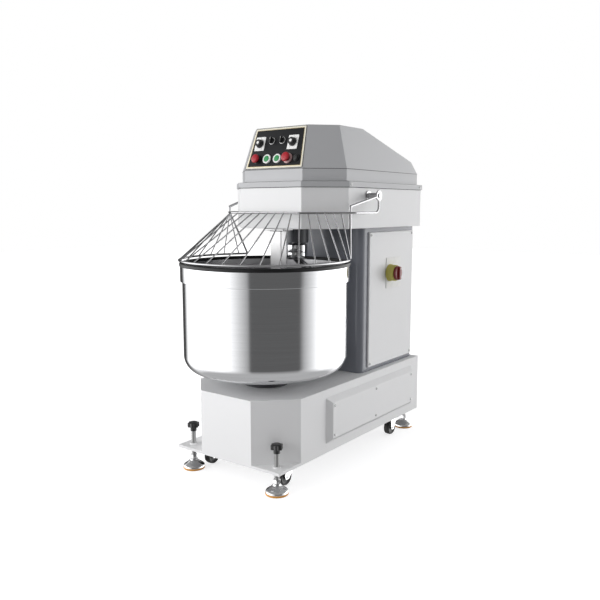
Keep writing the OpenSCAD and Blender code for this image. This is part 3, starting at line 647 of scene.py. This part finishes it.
def inset(outline, by):
    """A convex outline moved inwards by a distance."""
    count = len(outline)
    made = []
    for k in range(count):
        a, b, c = (Vector(outline[(k + d) % count]) for d in (-1, 0, 1))
        n1 = Vector((-(b - a).y, (b - a).x)).normalized()
        n2 = Vector((-(c - b).y, (c - b).x)).normalized()
        half = (n1 + n2).normalized()
        made.append(tuple(b + half * (by / half.dot(n1))))
    return made


line_plate = flat_piece("panel_line", rounded_outline(PANEL, 4), 2.1, on_face(0, 0), 0.3)
line_plate.data.materials.append(outline_black)
cream_plate = flat_piece("panel_cream", rounded_outline(inset(PANEL, 2.0), 4), 2.3, on_face(0, 0), 0.2)
cream_plate.data.materials.append(cream)
gold_plate = flat_piece("panel_gold", rounded_outline(inset(PANEL, 8.6), 4), 2.4, on_face(0, 0), 0.1)
gold_plate.data.materials.append(border)
film_plate = flat_piece("panel_dark", rounded_outline(inset(PANEL, 10.6), 3), 2.5, on_face(0, 0), 0.1)
film_plate.data.materials.append(film)
panel = joined("control_plate", [line_plate, cream_plate, gold_plate, film_plate])
place(panel, "machine", "panel_film", None, ["control_panel"])

TIMER_AT = [(-96, 116), (80, 116)]
SELECTOR_AT = [(-32, 126), (23, 126)]
STOP_AT = (-94, 45)
START_AT = [(-39, 45), (16, 45)]
EMERGENCY_AT = (71, 45)
JOG_AT = (114, 45)
FILM_TOP = 2.5

bezel_steel = worked("bezel_steel", (0.62, 0.62, 0.62), 0.22, (300.0, 300.0, 300.0), 0.04)
bezels = []


def ring_piece(name, at, outer, inner, low, high, surface, ease=0.8):
    made = turned(name, [(inner, low), (inner, high - 0.6), (inner + 0.8, high), (outer - 1.2, high),
                         (outer, high - 1.5), (outer, low), (inner, low)], on_face(*at), 48, ease)
    made.data.materials.append(surface)
    return made


def barrel(at):
    made = turned("barrel", [(3.1, -22), (11, -22), (11, FILM_TOP), (3.1, FILM_TOP), (3.1, -22)], on_face(*at), 32, 0.3)
    made.data.materials.append(bezel_steel)
    return made


for at in TIMER_AT:
    card = flat_piece("dial_card", rounded_outline([(-26, -31), (26, -31), (26, 31), (-26, 31)], 2.5), 1.5,
                      on_face(*at), 0.4, FILM_TOP)
    card.data.materials.append(white_print)
    bezels += [card, barrel(at)]
for at in SELECTOR_AT:
    bezels += [ring_piece("selector_ring", at, 16, 12.6, FILM_TOP, FILM_TOP + 4, bezel_steel), barrel(at)]
pale_green = moulded("pale_green", (0.50, 0.66, 0.50), None, 0.35)
for at in START_AT:
    bezels += [ring_piece("start_ring", at, 20, 13.6, FILM_TOP, FILM_TOP + 8, white_print, 1.0), barrel(at)]
bezels += [ring_piece("stop_ring", STOP_AT, 19, 12.5, FILM_TOP, FILM_TOP + 5, black_plastic), barrel(STOP_AT)]
pale_red = moulded("pale_red", (0.66, 0.42, 0.42), None, 0.4)
bezels += [ring_piece("emergency_ring", EMERGENCY_AT, 22, 12.5, FILM_TOP, FILM_TOP + 6, pale_red),
           barrel(EMERGENCY_AT)]
bezels += [ring_piece("jog_ring", JOG_AT, 15, 11.6, FILM_TOP, FILM_TOP + 6, black_plastic), barrel(JOG_AT)]

# printed dial marks and figures on the timers' cards
tick_print = moulded("dial_print", (0.02, 0.02, 0.02), None, 0.6)
DIAL_STEPS = 30
ticks = []
for centre in TIMER_AT:
    for k in range(DIAL_STEPS + 1):
        a = math.radians(-60 + 300 * k / DIAL_STEPS)
        reach = 24.2 if k % 5 == 0 else 22.6
        along, across = Vector((-math.cos(a), math.sin(a))), Vector((math.sin(a), math.cos(a)))
        a0, a1, half = along * 20.6, along * reach, across * (0.45 if k % 5 == 0 else 0.25)
        quad = [a0 - half, a1 - half, a1 + half, a0 + half]
        if (quad[1] - quad[0]).cross(quad[2] - quad[1]) < 0:
            quad.reverse()
        tick = flat_piece("tick", [tuple(q) for q in quad], 0.15, on_face(*centre), 0, FILM_TOP + 1.5)
        tick.data.materials.append(tick_print)
        ticks.append(tick)
bezels += ticks


def figures(text, at, size, surface):
    """Flat raised figures on the control face."""
    curve = bpy.data.curves.new("figures", "FONT")
    curve.body = text
    curve.size = size * MM
    curve.align_x = "CENTER"
    curve.align_y = "CENTER"
    curve.extrude = 0.0001
    curve.resolution_u = 3
    made = new_object("figures", curve)
    bpy.context.view_layer.update()
    ready = made.evaluated_get(bpy.context.evaluated_depsgraph_get())
    mesh = bpy.data.meshes.new_from_object(ready)
    bpy.data.objects.remove(made)
    mesh.transform(at)
    mesh.materials.clear()
    mesh.materials.append(surface)
    return new_object("figures", mesh)


for centre in TIMER_AT:
    for k, label in enumerate(("0", "5", "10", "15", "20", "25", "30")):
        a = math.radians(-60 + 50 * k)
        at = on_face(centre[0] - 26.5 * math.cos(a) * 0.86, centre[1] + 27.5 * math.sin(a), FILM_TOP + 1.6)
        bezels.append(figures(label, at, 4.2, tick_print))
place(joined("control_rings", bezels), "machine", "stainless", None, ["control_bezels"])

# ---- Timers ----
# Two clockwork timers: a fluted black knob on a wide skirt, with a white cap in its
# middle and a white mark that points at the dial.


def fluted(count, depth):
    """A wave that cuts round flutes into a turned side."""
    return lambda a, r: r - (depth * (0.5 - 0.5 * math.cos(count * a)) ** 2 if r > 0.0132 else 0)


for side, at in zip(("left", "right"), TIMER_AT):
    knob = turned("knob", [(0, 5), (16.5, 5), (17, 8), (15.6, 20.5), (13.4, 22), (0, 21.4)], on_face(*at), 96,
                  0.9, fluted(24, 0.0008))
    skirt = turned("skirt", [(0, 4.6), (19, 4.6), (19, 6.4), (17, 7.6), (0, 7.6)], on_face(*at), 64, 0.5)
    stem = turned("stem", [(0, -18), (3, -18), (3, 6), (0, 6)], on_face(*at), 24, 0.3)
    for made in (knob, skirt, stem):
        made.data.materials.append(black_plastic)
    spot = turned("spot", [(0, 21.0), (6.6, 21.2), (6.4, 22.0), (0, 22.0)], on_face(*at), 36, 0.2)
    pointer = flat_piece("pointer", [(-0.7, 15), (0.7, 15), (0.7, 18.4), (-0.7, 18.4)], 0.35,
                         on_face(*at) @ Matrix.Rotation(math.radians(35), 4, "Z"), 0, 7.4)
    for made in (spot, pointer):
        made.data.materials.append(white_print)
    place(joined(f"timer_{side}", [knob, skirt, stem, spot, pointer]), f"timer_knob_{side}", "black_plastic",
          None, [f"timer_knob_{side}"])

# ---- Selectors ----
# Two black rotary selectors with a raised grip and a white index line.
for side, at in zip(("left", "right"), SELECTOR_AT):
    disc = turned("disc", [(0, 4), (11.8, 4), (12, 9), (10.5, 10.4), (0, 10.6)], on_face(*at), 48, 0.7)
    grip = flat_piece("grip", rounded_outline([(-4.5, -12.8), (4.5, -12.8), (3.6, 12.8), (-3.6, 12.8)], 3), 15,
                      on_face(*at), 1.6, 7)
    stem = turned("stem", [(0, -18), (3, -18), (3, 6), (0, 6)], on_face(*at), 24, 0.3)
    for made in (disc, grip, stem):
        made.data.materials.append(black_plastic)
    index = flat_piece("index", [(-0.6, 2), (0.6, 2), (0.6, 11), (-0.6, 11)], 0.3, on_face(*at), 0, 21.9)
    index.data.materials.append(white_print)
    place(joined(f"selector_{side}", [disc, grip, stem, index]), f"selector_knob_{side}", "black_plastic",
          None, [f"selector_knob_{side}"])

# ---- Push buttons ----
# Green flush start buttons, a black jog button, a red stop mushroom and a larger red emergency
# mushroom. Each cap is moulded plastic on a steel stem that slides in its barrel.
green = moulded("green_plastic", (0.03, 0.30, 0.09), (0.06, 0.36, 0.14), 0.3)
red = moulded("red_plastic", (0.42, 0.010, 0.022), (0.48, 0.04, 0.05), 0.28)


def button(name, body, outline, at, surface, slot):
    made = turned(name, outline, on_face(*at), 64, 0.9)
    made.data.materials.append(surface)
    place(made, body, slot, None, [body])


def cap(r, low, high):
    """A slightly domed cap on its stem."""
    return [(0, -18), (3, -18), (3, low + 0.4), (r, low + 0.4), (r, high - 1.2), (r * 0.8, high - 0.35),
            (r * 0.4, high - 0.05), (0, high)]


def mushroom(r, low):
    """A mushroom head with a hollowed grip under its edge."""
    return [(0, -18), (3, -18), (3, low - 7), (11, low - 7), (11, low - 1), (r - 3, low), (r, low + 2.5),
            (r, low + 6), (r - 1.6, low + 9.4), (r - 5.5, low + 11.7), (r - 11, low + 12.8), (0, low + 13)]


for side, at in zip(("left", "right"), START_AT):
    button(f"start_{side}", f"start_button_{side}", cap(13, 7.5, 12.5), at, green, "green_plastic")
button("jog", "jog_button", cap(11, 7, 13), JOG_AT, black_plastic, "black_plastic")
button("stop", "stop_button", mushroom(19, 14), STOP_AT, red, "red_plastic")
button("emergency", "emergency_stop", mushroom(20, 17), EMERGENCY_AT, red, "red_plastic")

# ---- Mains switch ----
# A rotary isolator on a white plate: a yellow round collar and a dark red disc with a grip bar.
yellow = moulded("switch_yellow", (0.52, 0.47, 0.10), (0.6, 0.55, 0.2), 0.4)
dark_red = moulded("switch_red", (0.20, 0.010, 0.012), (0.28, 0.03, 0.03), 0.32)
SWITCH = Matrix.Translation((0.253, 0.347, 0.811)) @ Matrix(((0, 0, 1, 0), (1, 0, 0, 0), (0, 1, 0, 0), (0, 0, 0, 1)))
white_plate = flat_piece("switch_plate", rounded_outline([(-31, -73), (107, -73), (107, 71), (-31, 71)], 5), 3,
                         SWITCH, 0.8)
white_plate.data.materials.append(white_print)
ring = turned("switch_ring", [(5.2, 3), (40, 3), (40, 10), (38.5, 11), (37.6, 11), (37.5, 37.5), (36, 39),
                              (30, 39), (28, 37), (5.2, 37), (5.2, 3)], SWITCH, 96, 0.6)
ring.data.materials.append(yellow)
place(joined("switch_mount", [white_plate, ring]), "machine", "switch_yellow", None, ["switch_body"])
disc = turned("disc", [(0, 8), (5, 8), (5, 39.5), (32, 39.5), (33, 41), (33, 49.5), (31, 51.5), (0, 51.5)],
              SWITCH, 72, 0.9, lambda a, r: r - (0.0006 * (0.5 - 0.5 * math.cos(30 * a)) if r > 0.0325 else 0))
grip = flat_piece("grip", rounded_outline([(-8, -30), (8, -30), (8, 30), (-8, 30)], 6), 10, SWITCH, 2.4, 51)
index = flat_piece("index", [(-1, 16), (1, 16), (1, 28), (-1, 28)], 0.3, SWITCH, 0, 60.8)
disc.data.materials.append(dark_red)
grip.data.materials.append(dark_red)
index.data.materials.append(white_print)
place(joined("switch_handle", [disc, grip, index]), "switch_knob", "red_plastic", None, ["switch_knob"])

# ---- Bowl ----
# The bowl is spun from 3 mm stainless sheet and polished. A band is welded round its mouth, and a
# dark seal ring lies on the band. It stands on a flanged spindle over a cast bearing housing.
BOWL = Matrix.Translation((0, -0.2575, 0))
RADIUS, THICK, KNUCKLE, KNUCKLE_Z, FLAT, FLOOR_Z, TOP = 346, 3, 70, 503, 95, 390, 876
KNUCKLE_X = RADIUS - KNUCKLE
reach = Vector((KNUCKLE_X - FLAT, KNUCKLE_Z - FLOOR_Z))
slope = math.acos(KNUCKLE / reach.length) - math.atan2(reach.x, reach.y)


def bowl_side(t, steps=28):
    """One side of the bowl's wall, t inside its outer surface."""
    made = [(0, FLOOR_Z + t), (FLAT, FLOOR_Z + t)]
    for k in range(steps + 1):
        a = -math.pi / 2 + slope + (math.pi / 2 - slope) * k / steps
        made.append((KNUCKLE_X + (KNUCKLE - t) * math.cos(a), KNUCKLE_Z + (KNUCKLE - t) * math.sin(a)))
    return made + [(RADIUS - t, 813)]


bowl_metal = worked("bowl_steel", (0.66, 0.665, 0.68), 0.10, (3.0, 3.0, 260.0), 0.025, 0.06)
# a darker, rougher copy of the bowl steel for the inner faces: the extra roughness is a finish, the darker colour is
# painted shade inside the bowl
shaded_inside_metal = worked("bowl_inside_painted_shade", (0.40, 0.40, 0.41), 0.3, (3.0, 3.0, 200.0), 0.05, 0.1)
outer = bowl_side(0) + [(RADIUS, 814.5), (RADIUS + 1.5, 813), (RADIUS + 7, 813), (RADIUS + 8, 814), (RADIUS + 8, 875),
                        (RADIUS + 7, 876)]
inner = [(RADIUS - THICK, 876)] + bowl_side(THICK)[::-1]
shell = turned("bowl", outer + inner, BOWL, 256, 0.5, None, 28)
shell.data.materials.append(bowl_metal)
shell.data.materials.append(shaded_inside_metal)
middle = Vector((0, -0.2575))
# faces that look into the bowl take the darker copy, which is painted shade
for polygon in shell.data.polygons:
    centre = polygon.center
    outwards = Vector((centre.x, centre.y + 0.2575))
    faces_in = polygon.normal.xy.dot(outwards) < 0 if centre.z > 0.45 else polygon.normal.z > 0
    polygon.material_index = 1 if faces_in else 0
place(shell, "bowl", "bowl_steel", None, ["bowl_shell"])
# black rubber of the bowl's rim seal; the same black is also used for the painted shade strips in the head's joints
seal = moulded("rim_seal_and_shade_black", (0.009, 0.009, 0.010), (0.02, 0.02, 0.02), 0.45, Specular_IOR_Level=0.3)
rim = turned("bowl_seal", [(346, 876), (357, 876), (357, 887), (354.5, 890), (349, 890), (346, 887.5), (346, 876)],
             BOWL, 256, 1.6)
place(rim, "bowl", "black_rubber", seal, ["bowl_rim"])

dark_steel = worked("dark_steel", (0.16, 0.16, 0.165), 0.42, (60.0, 60.0, 500.0), 0.1)
cast = moulded("cast_iron", (0.07, 0.072, 0.078), (0.12, 0.12, 0.13), 0.5, 500.0, 0.35, Metallic=0.6)
spindle = turned("bowl_flange", [(0, 150), (24, 150), (25, 151), (25, 381), (93.5, 381), (95, 382.5), (95, 390),
                                 (0, 390)], BOWL, 96, 0.8)
place(spindle, "bowl", "dark_steel", dark_steel, ["bowl_spindle"])

# ---- Spiral ----
# The kneading spiral is one hot coiled 32 mm stainless bar, welded into a thick chromed hub. The
# square bar in front of it is fixed to the head and keeps the dough from turning with the bowl.
rod, given, result = tree_of("rod", [("Thickness", "Float", 0.01), ("Bend", "Float", 0.0), ("Sides", "Int", 16),
                                     ("Material", "Material", None)])
path = node(rod, "GeometryNodeMeshToCurve")
rod.links.new(given.outputs["Geometry"], path.inputs["Mesh"])
bent = node(rod, "GeometryNodeFilletCurve", mode="POLY")
bent.inputs["Count"].default_value = 7
bent.inputs["Limit Radius"].default_value = True
rod.links.new(path.outputs["Curve"], bent.inputs["Curve"])
rod.links.new(given.outputs["Bend"], bent.inputs["Radius"])
section = node(rod, "GeometryNodeCurvePrimitiveCircle")
rod.links.new(given.outputs["Sides"], section.inputs["Resolution"])
rod.links.new(math_node(rod, "MULTIPLY", given.outputs["Thickness"], 0.5), section.inputs["Radius"])
swept = node(rod, "GeometryNodeCurveToMesh")
swept.inputs["Fill Caps"].default_value = True
rod.links.new(bent.outputs["Curve"], swept.inputs["Curve"])
rod.links.new(section.outputs["Curve"], swept.inputs["Profile Curve"])
real = node(rod, "GeometryNodeRealizeInstances")
rod.links.new(swept.outputs[0], real.inputs[0])
finish = node(rod, "GeometryNodeSetMaterial")
rod.links.new(real.outputs[0], finish.inputs["Geometry"])
rod.links.new(given.outputs["Material"], finish.inputs["Material"])
rod.links.new(finish.outputs[0], result.inputs["Geometry"])


def rods(name, paths, thickness, surface, bend=0.0, sides=16):
    """Round bars along open paths of points in mm, as one mesh."""
    points, edges = [], []
    for run in paths:
        edges += [(len(points) + k, len(points) + k + 1) for k in range(len(run) - 1)]
        points += [Vector(p) * MM for p in run]
    mesh = bpy.data.meshes.new(name)
    mesh.from_pydata(points, edges, [])
    made = grow(new_object(name, mesh), rod, Thickness=thickness * MM, Bend=bend * MM, Sides=sides, Material=surface)
    bm = bmesh.new()
    bm.from_mesh(made.data)
    bmesh.ops.recalc_face_normals(bm, faces=bm.faces)
    bm.to_mesh(made.data)
    bm.free()
    smooth(made.data, 50)
    return made


def ease_in(t):
    u = min(max(t, 0.0), 1.0)
    return u * u * (3 - 2 * u)


def hook_at(t):
    r = 80 * ease_in(t / 0.16) * (1 - 0.3 * ease_in((t - 0.8) / 0.2))
    a = math.radians(150 - 360 * 1.45 * t)
    z = 886 + 4 - 46 * ease_in(t / 0.2) - (886 - 42 - 478) * max(0, t - 0.08) / 0.92
    return (r * math.cos(a), r * math.sin(a) - 35, z)


stainless = worked("stainless", (0.56, 0.56, 0.565), 0.24, (500.0, 500.0, 14.0), 0.08)
HOOK_STEPS = 300
hook = rods("spiral_bar", [[hook_at(k / HOOK_STEPS) for k in range(HOOK_STEPS + 1)]], 32, stainless, 0, 36)
end, before_end = Vector(hook_at(1)), Vector(hook_at(1 - 1 / HOOK_STEPS))
tip = turned("tip", [(0, -3), (15.9, -3), (15.9, 0), (15.2, 5), (13.2, 9), (9.8, 12.6), (5, 15), (0, 15.75)],
             Matrix.Translation(end * MM) @ (end - before_end).to_track_quat("Z", "X").to_matrix().to_4x4(), 36, 0.6)
tip.data.materials.append(stainless)
place(joined("kneading_spiral", [hook, tip]), "spiral", "stainless", None, ["spiral_hook"])
SPIRAL = Matrix.Translation((0, -0.035, 0))
chrome = worked("chrome", (0.74, 0.745, 0.75), 0.09, (200.0, 200.0, 200.0), 0.02, 0.06)
hub = turned("spiral_hub", [(0, 886), (42, 886), (45, 889), (45, 915), (44, 916), (44, 919), (45, 920), (45, 950),
                            (38, 957), (22.5, 957), (22.5, 1175), (21.5, 1176), (0, 1176)], SPIRAL, 96, 0.9)
place(hub, "spiral", "chrome", chrome, ["spiral_spindle"])
housing = turned("spindle_tube", [(25, 960), (47, 960), (50, 963), (50, 1029), (85, 1029), (85, 1041), (50, 1041),
                                  (50, 1100), (36, 1100), (36, 966), (25, 966), (25, 960)], SPIRAL, 96, 0.9)
housing_paint = coated("housing_paint", (0.15, 0.155, 0.17), 0.2, 0.35)
place(housing, "machine", "dark_steel", housing_paint, ["spindle_housing"])
bar_steel = worked("breaker_steel", (0.60, 0.60, 0.605), 0.36, (500.0, 500.0, 10.0), 0.12)
folded("breaker_bar", "dough_breaker", "machine", "stainless", bar_steel, 0.004, 4)

# ---- Joint shade strips ----
# Painted shade: thin black strips laid in the joints under the deck's lip, round the collar's foot, and where the
# hood's sloping sides meet the collar. They stand in for the shadow in those gaps.


def cut_loop(half, front, rear, cut, z):
    """A closed run round the head: two cut front corners and two square rear ones."""
    run = [(cut - half, front), (half - cut, front), (half, front + cut), (half, rear), (-half, rear),
           (-half, front + cut), (cut - half, front)]
    return [(x, y, z) for x, y in run]


# painted shade: black strips where the joints' gaps lie in shadow
shade_strips = [rods("seal", [cut_loop(half, front, rear, cut, z)], thick, seal, 0, 8)
         for half, front, rear, cut, z, thick in (
             (302.2, -225.2, 553.2, 138, 1196.2, 2.4), (284.2, -204.2, 546.2, 130, 1220.8, 2.4),
             (283.9, -203.9, 545.9, 130, 1272, 1.8))]
place(joined("joint_seals", shade_strips), "machine", "black_rubber")

# ---- Guard ----
# The guard is welded from round stainless rod and wire: a ring over the bowl's mouth, an upper rod
# under the head, and 21 slanting wires between them. Two arms carry it on pivots beside the head.
wire_steel = worked("wire_steel", (0.46, 0.46, 0.47), 0.16, (300.0, 300.0, 300.0), 0.04)
RING_R, RING_Z, UPPER_Z, PIVOT = 357, 900, 1092, (355.75, 65, 1163)
RING_END = 126.8
RING_STEPS = 150


def on_ring(a):
    return (RING_R * math.cos(math.radians(a - 90)), RING_R * math.sin(math.radians(a - 90)) - 257.5, RING_Z)


FRONT, SIDE, REAR = (184, -263), (345, -102), (355.5, 64)
upper = [(REAR[0], REAR[1], PIVOT[2] - 15), (*REAR, UPPER_Z), (*SIDE, UPPER_Z), (*FRONT, UPPER_Z)]
upper += [(-x, y, z) for x, y, z in upper[::-1]]
guard_rods = [
    rods("ring", [[on_ring(RING_END * (2 * k / RING_STEPS - 1)) for k in range(RING_STEPS + 1)]], 9, wire_steel, 0, 18),
    rods("upper", [upper], 9, wire_steel, 24, 18)]
for side in (-1, 1):
    post = [(side * 286, -43, RING_Z), (side * 329, -115, UPPER_Z), (side * 329, -115, 1116)]
    arm = [(side * 329, -115, 1112), (side * 329, -115, 1118), (side * (PIVOT[0] - 0.5), PIVOT[1] - 19, PIVOT[2] - 5)]
    guard_rods.append(rods("post", [post], 9, wire_steel, 16, 16))
    guard_rods.append(rods("arm", [arm], 11, wire_steel, 3, 16))
place(joined("guard_rods", guard_rods), "guard", "wire_steel", None, ["guard_frame"])


def wire_head(k):
    """Upper end of wire k, counted from the ring's right end."""
    if k < 5:
        d = (5 - k) * 34 / math.sqrt(2)
        return (FRONT[0] + d, FRONT[1] + d, UPPER_Z)
    if k <= 14:
        return (FRONT[0] - (k - 5) * 2 * FRONT[0] / 9, FRONT[1], UPPER_Z)
    d = (k - 14) * 31 / math.sqrt(2)
    return (-FRONT[0] - d, FRONT[1] + d, UPPER_Z)


wires = rods("guard_grille", [[on_ring(12 * (10 - k)), wire_head(k)] for k in range(21)], 5.5, wire_steel, 0, 14)
place(wires, "guard", "wire_steel", None, ["guard_wires"])
hubs = []
for side in (-1, 1):
    swing = Matrix.Translation((0, 0.065, 1.163)) @ Matrix.Rotation(side * math.pi / 2, 4, "Y")
    eye = turned("eye", [(7.3, 352.5), (21, 352.5), (23, 354), (23, 357.5), (21, 359), (7.3, 359), (7.3, 352.5)],
                 swing, 64, 0.6)
    hubs.append(eye)
    pin = turned("pivot", [(0, 302), (21, 302), (22, 303), (22, 306), (21, 307), (12.6, 307), (12, 309), (12, 351.5),
                           (7, 352), (7, 359.6), (9.2, 359.8), (10, 361), (9, 362.3), (0, 362.5)], swing, 64, 0.5)
    pin.data.materials.append(wire_steel)
    hubs.append(pin)
eyes = joined("guard_eyes", hubs[0::2])
place(eyes, "guard", "wire_steel", wire_steel, ["guard_hubs"])
place(joined("guard_pins", hubs[1::2]), "machine", "dark_steel", None, ["guard_pivots"])

# ---- Casters ----
# Two swivel casters in front and two fixed ones behind: pressed, bright zinc plated forks, and
# wheels of black rubber tread on a nylon core. They hang 3 mm clear while the feet carry the mixer.
rubber = moulded("wheel_rubber", (0.014, 0.014, 0.014), (0.035, 0.034, 0.033), 0.6, 900.0, 0.2)
core = moulded("wheel_core", (0.030, 0.030, 0.032), (0.05, 0.05, 0.05), 0.42)
for name in ("front_wheel_right", "front_wheel_left", "rear_wheel_right", "rear_wheel_left"):
    low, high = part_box(name)
    hub_place = Matrix.Translation((low + high) / 2) @ Matrix.Rotation(math.pi / 2, 4, "Y")
    tread = turned("tread", [(25, -11), (29, -13.4), (32.5, -14), (34.2, -12.6), (35.3, -8), (35.5, 0), (35.3, 8),
                             (34.2, 12.6), (32.5, 14), (29, 13.4), (25, 11), (25, -11)], hub_place, 72, 0.8)
    tread.data.materials.append(rubber)
    disc = turned("disc", [(4.1, -14), (9, -14), (10, -10), (22, -8.5), (25.4, -11), (25.4, 11), (22, 8.5), (10, 10),
                           (9, 14), (4.1, 14), (4.1, -14)], hub_place, 72, 0.8)
    disc.data.materials.append(core)
    place(joined(name + "_tyre", [tread, disc]), name, "black_rubber", None, [name])
folded("caster_fork_right", "swivel_fork_right", "caster_fork_right", "chrome", chrome, 0.0009, 2)
folded("caster_fork_left", "swivel_fork_left", "caster_fork_left", "chrome", chrome, 0.0009, 2)
folded("caster_mounts", "caster_plates", "machine", "chrome", chrome, 0.0009, 2)

# ---- Feet ----
# Each foot is a domed bright steel cup on an orange rubber ring, with a 20 mm levelling screw. The
# front screws come up through the bracket to a black star knob, the rear ones into the base.
orange = moulded("orange_rubber", (0.78, 0.36, 0.07), (0.7, 0.36, 0.12), 0.5, 700.0, 0.2)
CUP = [(0, 7), (43.5, 7), (45, 8.2), (45, 14), (43.8, 16.5), (39, 20.5), (32, 25), (26, 29), (20.8, 34), (18.5, 35.4),
       (17, 36), (15.2, 42), (14, 43)]
PITCH = 2.5
CUT = 1.15


def thread(bm, low, high, r, per_turn=28):
    """A screw thread: rings whose radius winds with the height."""
    rows = int((high - low) / PITCH * 8)
    rings = []
    for i in range(rows + 1):
        z = low + (high - low) * i / rows
        ring_ = []
        for k in range(per_turn):
            a = 2 * math.pi * k / per_turn
            phase = (z / PITCH - k / per_turn) % 1.0
            fade = min(1.0, (z - low) / PITCH, (high - z) / PITCH)
            rr = (r - CUT * fade * (1 - abs(2 * phase - 1))) * MM
            ring_.append((rr * math.cos(a), rr * math.sin(a), z * MM))
        rings.append(ring_)
    shell_of_rings(bm, rings)


def foot(name, axis, with_bore):
    """The rubber ring and the steel cup of one foot."""
    at = Matrix.Translation(axis)
    top_end = [(8.1, 43), (8.1, 29), (0, 28.5)] if with_bore else [(0, 43)]
    shell_ = turned(name + "_cup", CUP + top_end, at, 96, 0.8)
    shell_.data.materials.append(chrome)
    pad = turned(name + "_pad", [(0, 0), (44.6, 0), (46, 1.2), (46, 6.8), (44.8, 8), (0, 8)], at, 96, 0.6)
    pad.data.materials.append(orange)
    return [shell_, pad]


def nut(axis, low, high):
    """A hexagon collar with chamfered corners."""
    made = mesh_from("nut", lambda bm: shell_of_rings(bm, [
        circle(r * MM, z * MM, 48, wave) for r, z, wave in (
            (12.4, low, None), (15, low + 1.3, hexagon), (15, high - 1.3, hexagon), (12.4, high, None))]))
    made.data.transform(Matrix.Translation(axis))
    smooth(made.data, 30)
    made.data.materials.append(chrome)
    return made


def star(a, r):
    """A star knob's outline: six round lobes."""
    return r * (0.885 + 0.115 * math.cos(6 * a)) if r > 0.0185 else r


def threaded(name, axis, low, high):
    made = mesh_from(name, lambda bm: thread(bm, low, high, 10))
    made.data.transform(Matrix.Translation(axis))
    smooth(made.data, 40)
    made.data.materials.append(zinc)
    return made


knob_plastic = moulded("knob_plastic", (0.013, 0.013, 0.014), (0.035, 0.035, 0.035), 0.36)
for side, sign in (("right", 1), ("left", -1)):
    axis = (sign * 0.229, -0.471, 0)
    made = joined(f"front_cup_{side}", foot("front", axis, True))
    place(made, f"front_foot_{side}", "chrome", None, [f"front_foot_{side}"])
    pivot = turned("pivot", [(0, 28.6), (8, 28.6), (8, 48), (0, 48)], Matrix.Translation(axis), 32, 0.4)
    pivot.data.materials.append(zinc)
    shank = joined(f"front_screw_{side}", [pivot, nut(axis, 43.5, 60.5), threaded("shank", axis, 60, 165)])
    place(shank, f"foot_screw_{side}", "chrome", None, [f"foot_screw_{side}"])
    knob = turned(f"star_knob_{side}", [(0, 165), (12.4, 165), (13, 166), (13, 180), (15.5, 182.2), (24.5, 182.4), (25.5, 184),
                                        (25.5, 199), (24, 201.5), (18.6, 202), (16.5, 203.9), (0, 204)],
                  Matrix.Translation(axis), 144, 0.9, star)
    place(knob, f"foot_screw_{side}", "black_plastic", knob_plastic, [f"foot_knob_{side}"])
    axis = (sign * 0.222, 0.573, 0)
    rear = foot("rear", axis, False) + [nut(axis, 43, 60), threaded("shank", axis, 59.5, 168)]
    place(joined(f"rear_leg_{side}", rear), f"rear_foot_{side}", "chrome", None, [f"rear_foot_{side}"])

# ---- Drive ----
# Inside the column and the base are two flange motors. V-belts on grooved pulleys take their turn
# to the spiral's and the bowl's spindles, which run in ball bearings. The mains cable enters by a gland.
motor_paint = coated("motor_paint", (0.055, 0.085, 0.12), 0.25, 0.5)
belt_rubber = moulded("belt_rubber", (0.012, 0.012, 0.012), (0.03, 0.03, 0.03), 0.7, 800.0, 0.2)
bearing_steel = worked("bearing_steel", (0.55, 0.55, 0.56), 0.2, (100.0, 100.0, 700.0), 0.05)
for names, surface in (
        (("drive_motors",), motor_paint), (("drive_belts",), belt_rubber), (("shaft_bearings",), bearing_steel),
        (("bowl_bearing_housing", "bowl_pulley", "bowl_motor_pulley", "spiral_pulley", "spiral_motor_pulley"), cast)):
    for name in names:
        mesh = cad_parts[name].data
        mesh.materials.clear()
        mesh.materials.append(surface)
folded("cable_gland", "mains_gland", "machine", "black_plastic", black_plastic, 0.0006, 2)
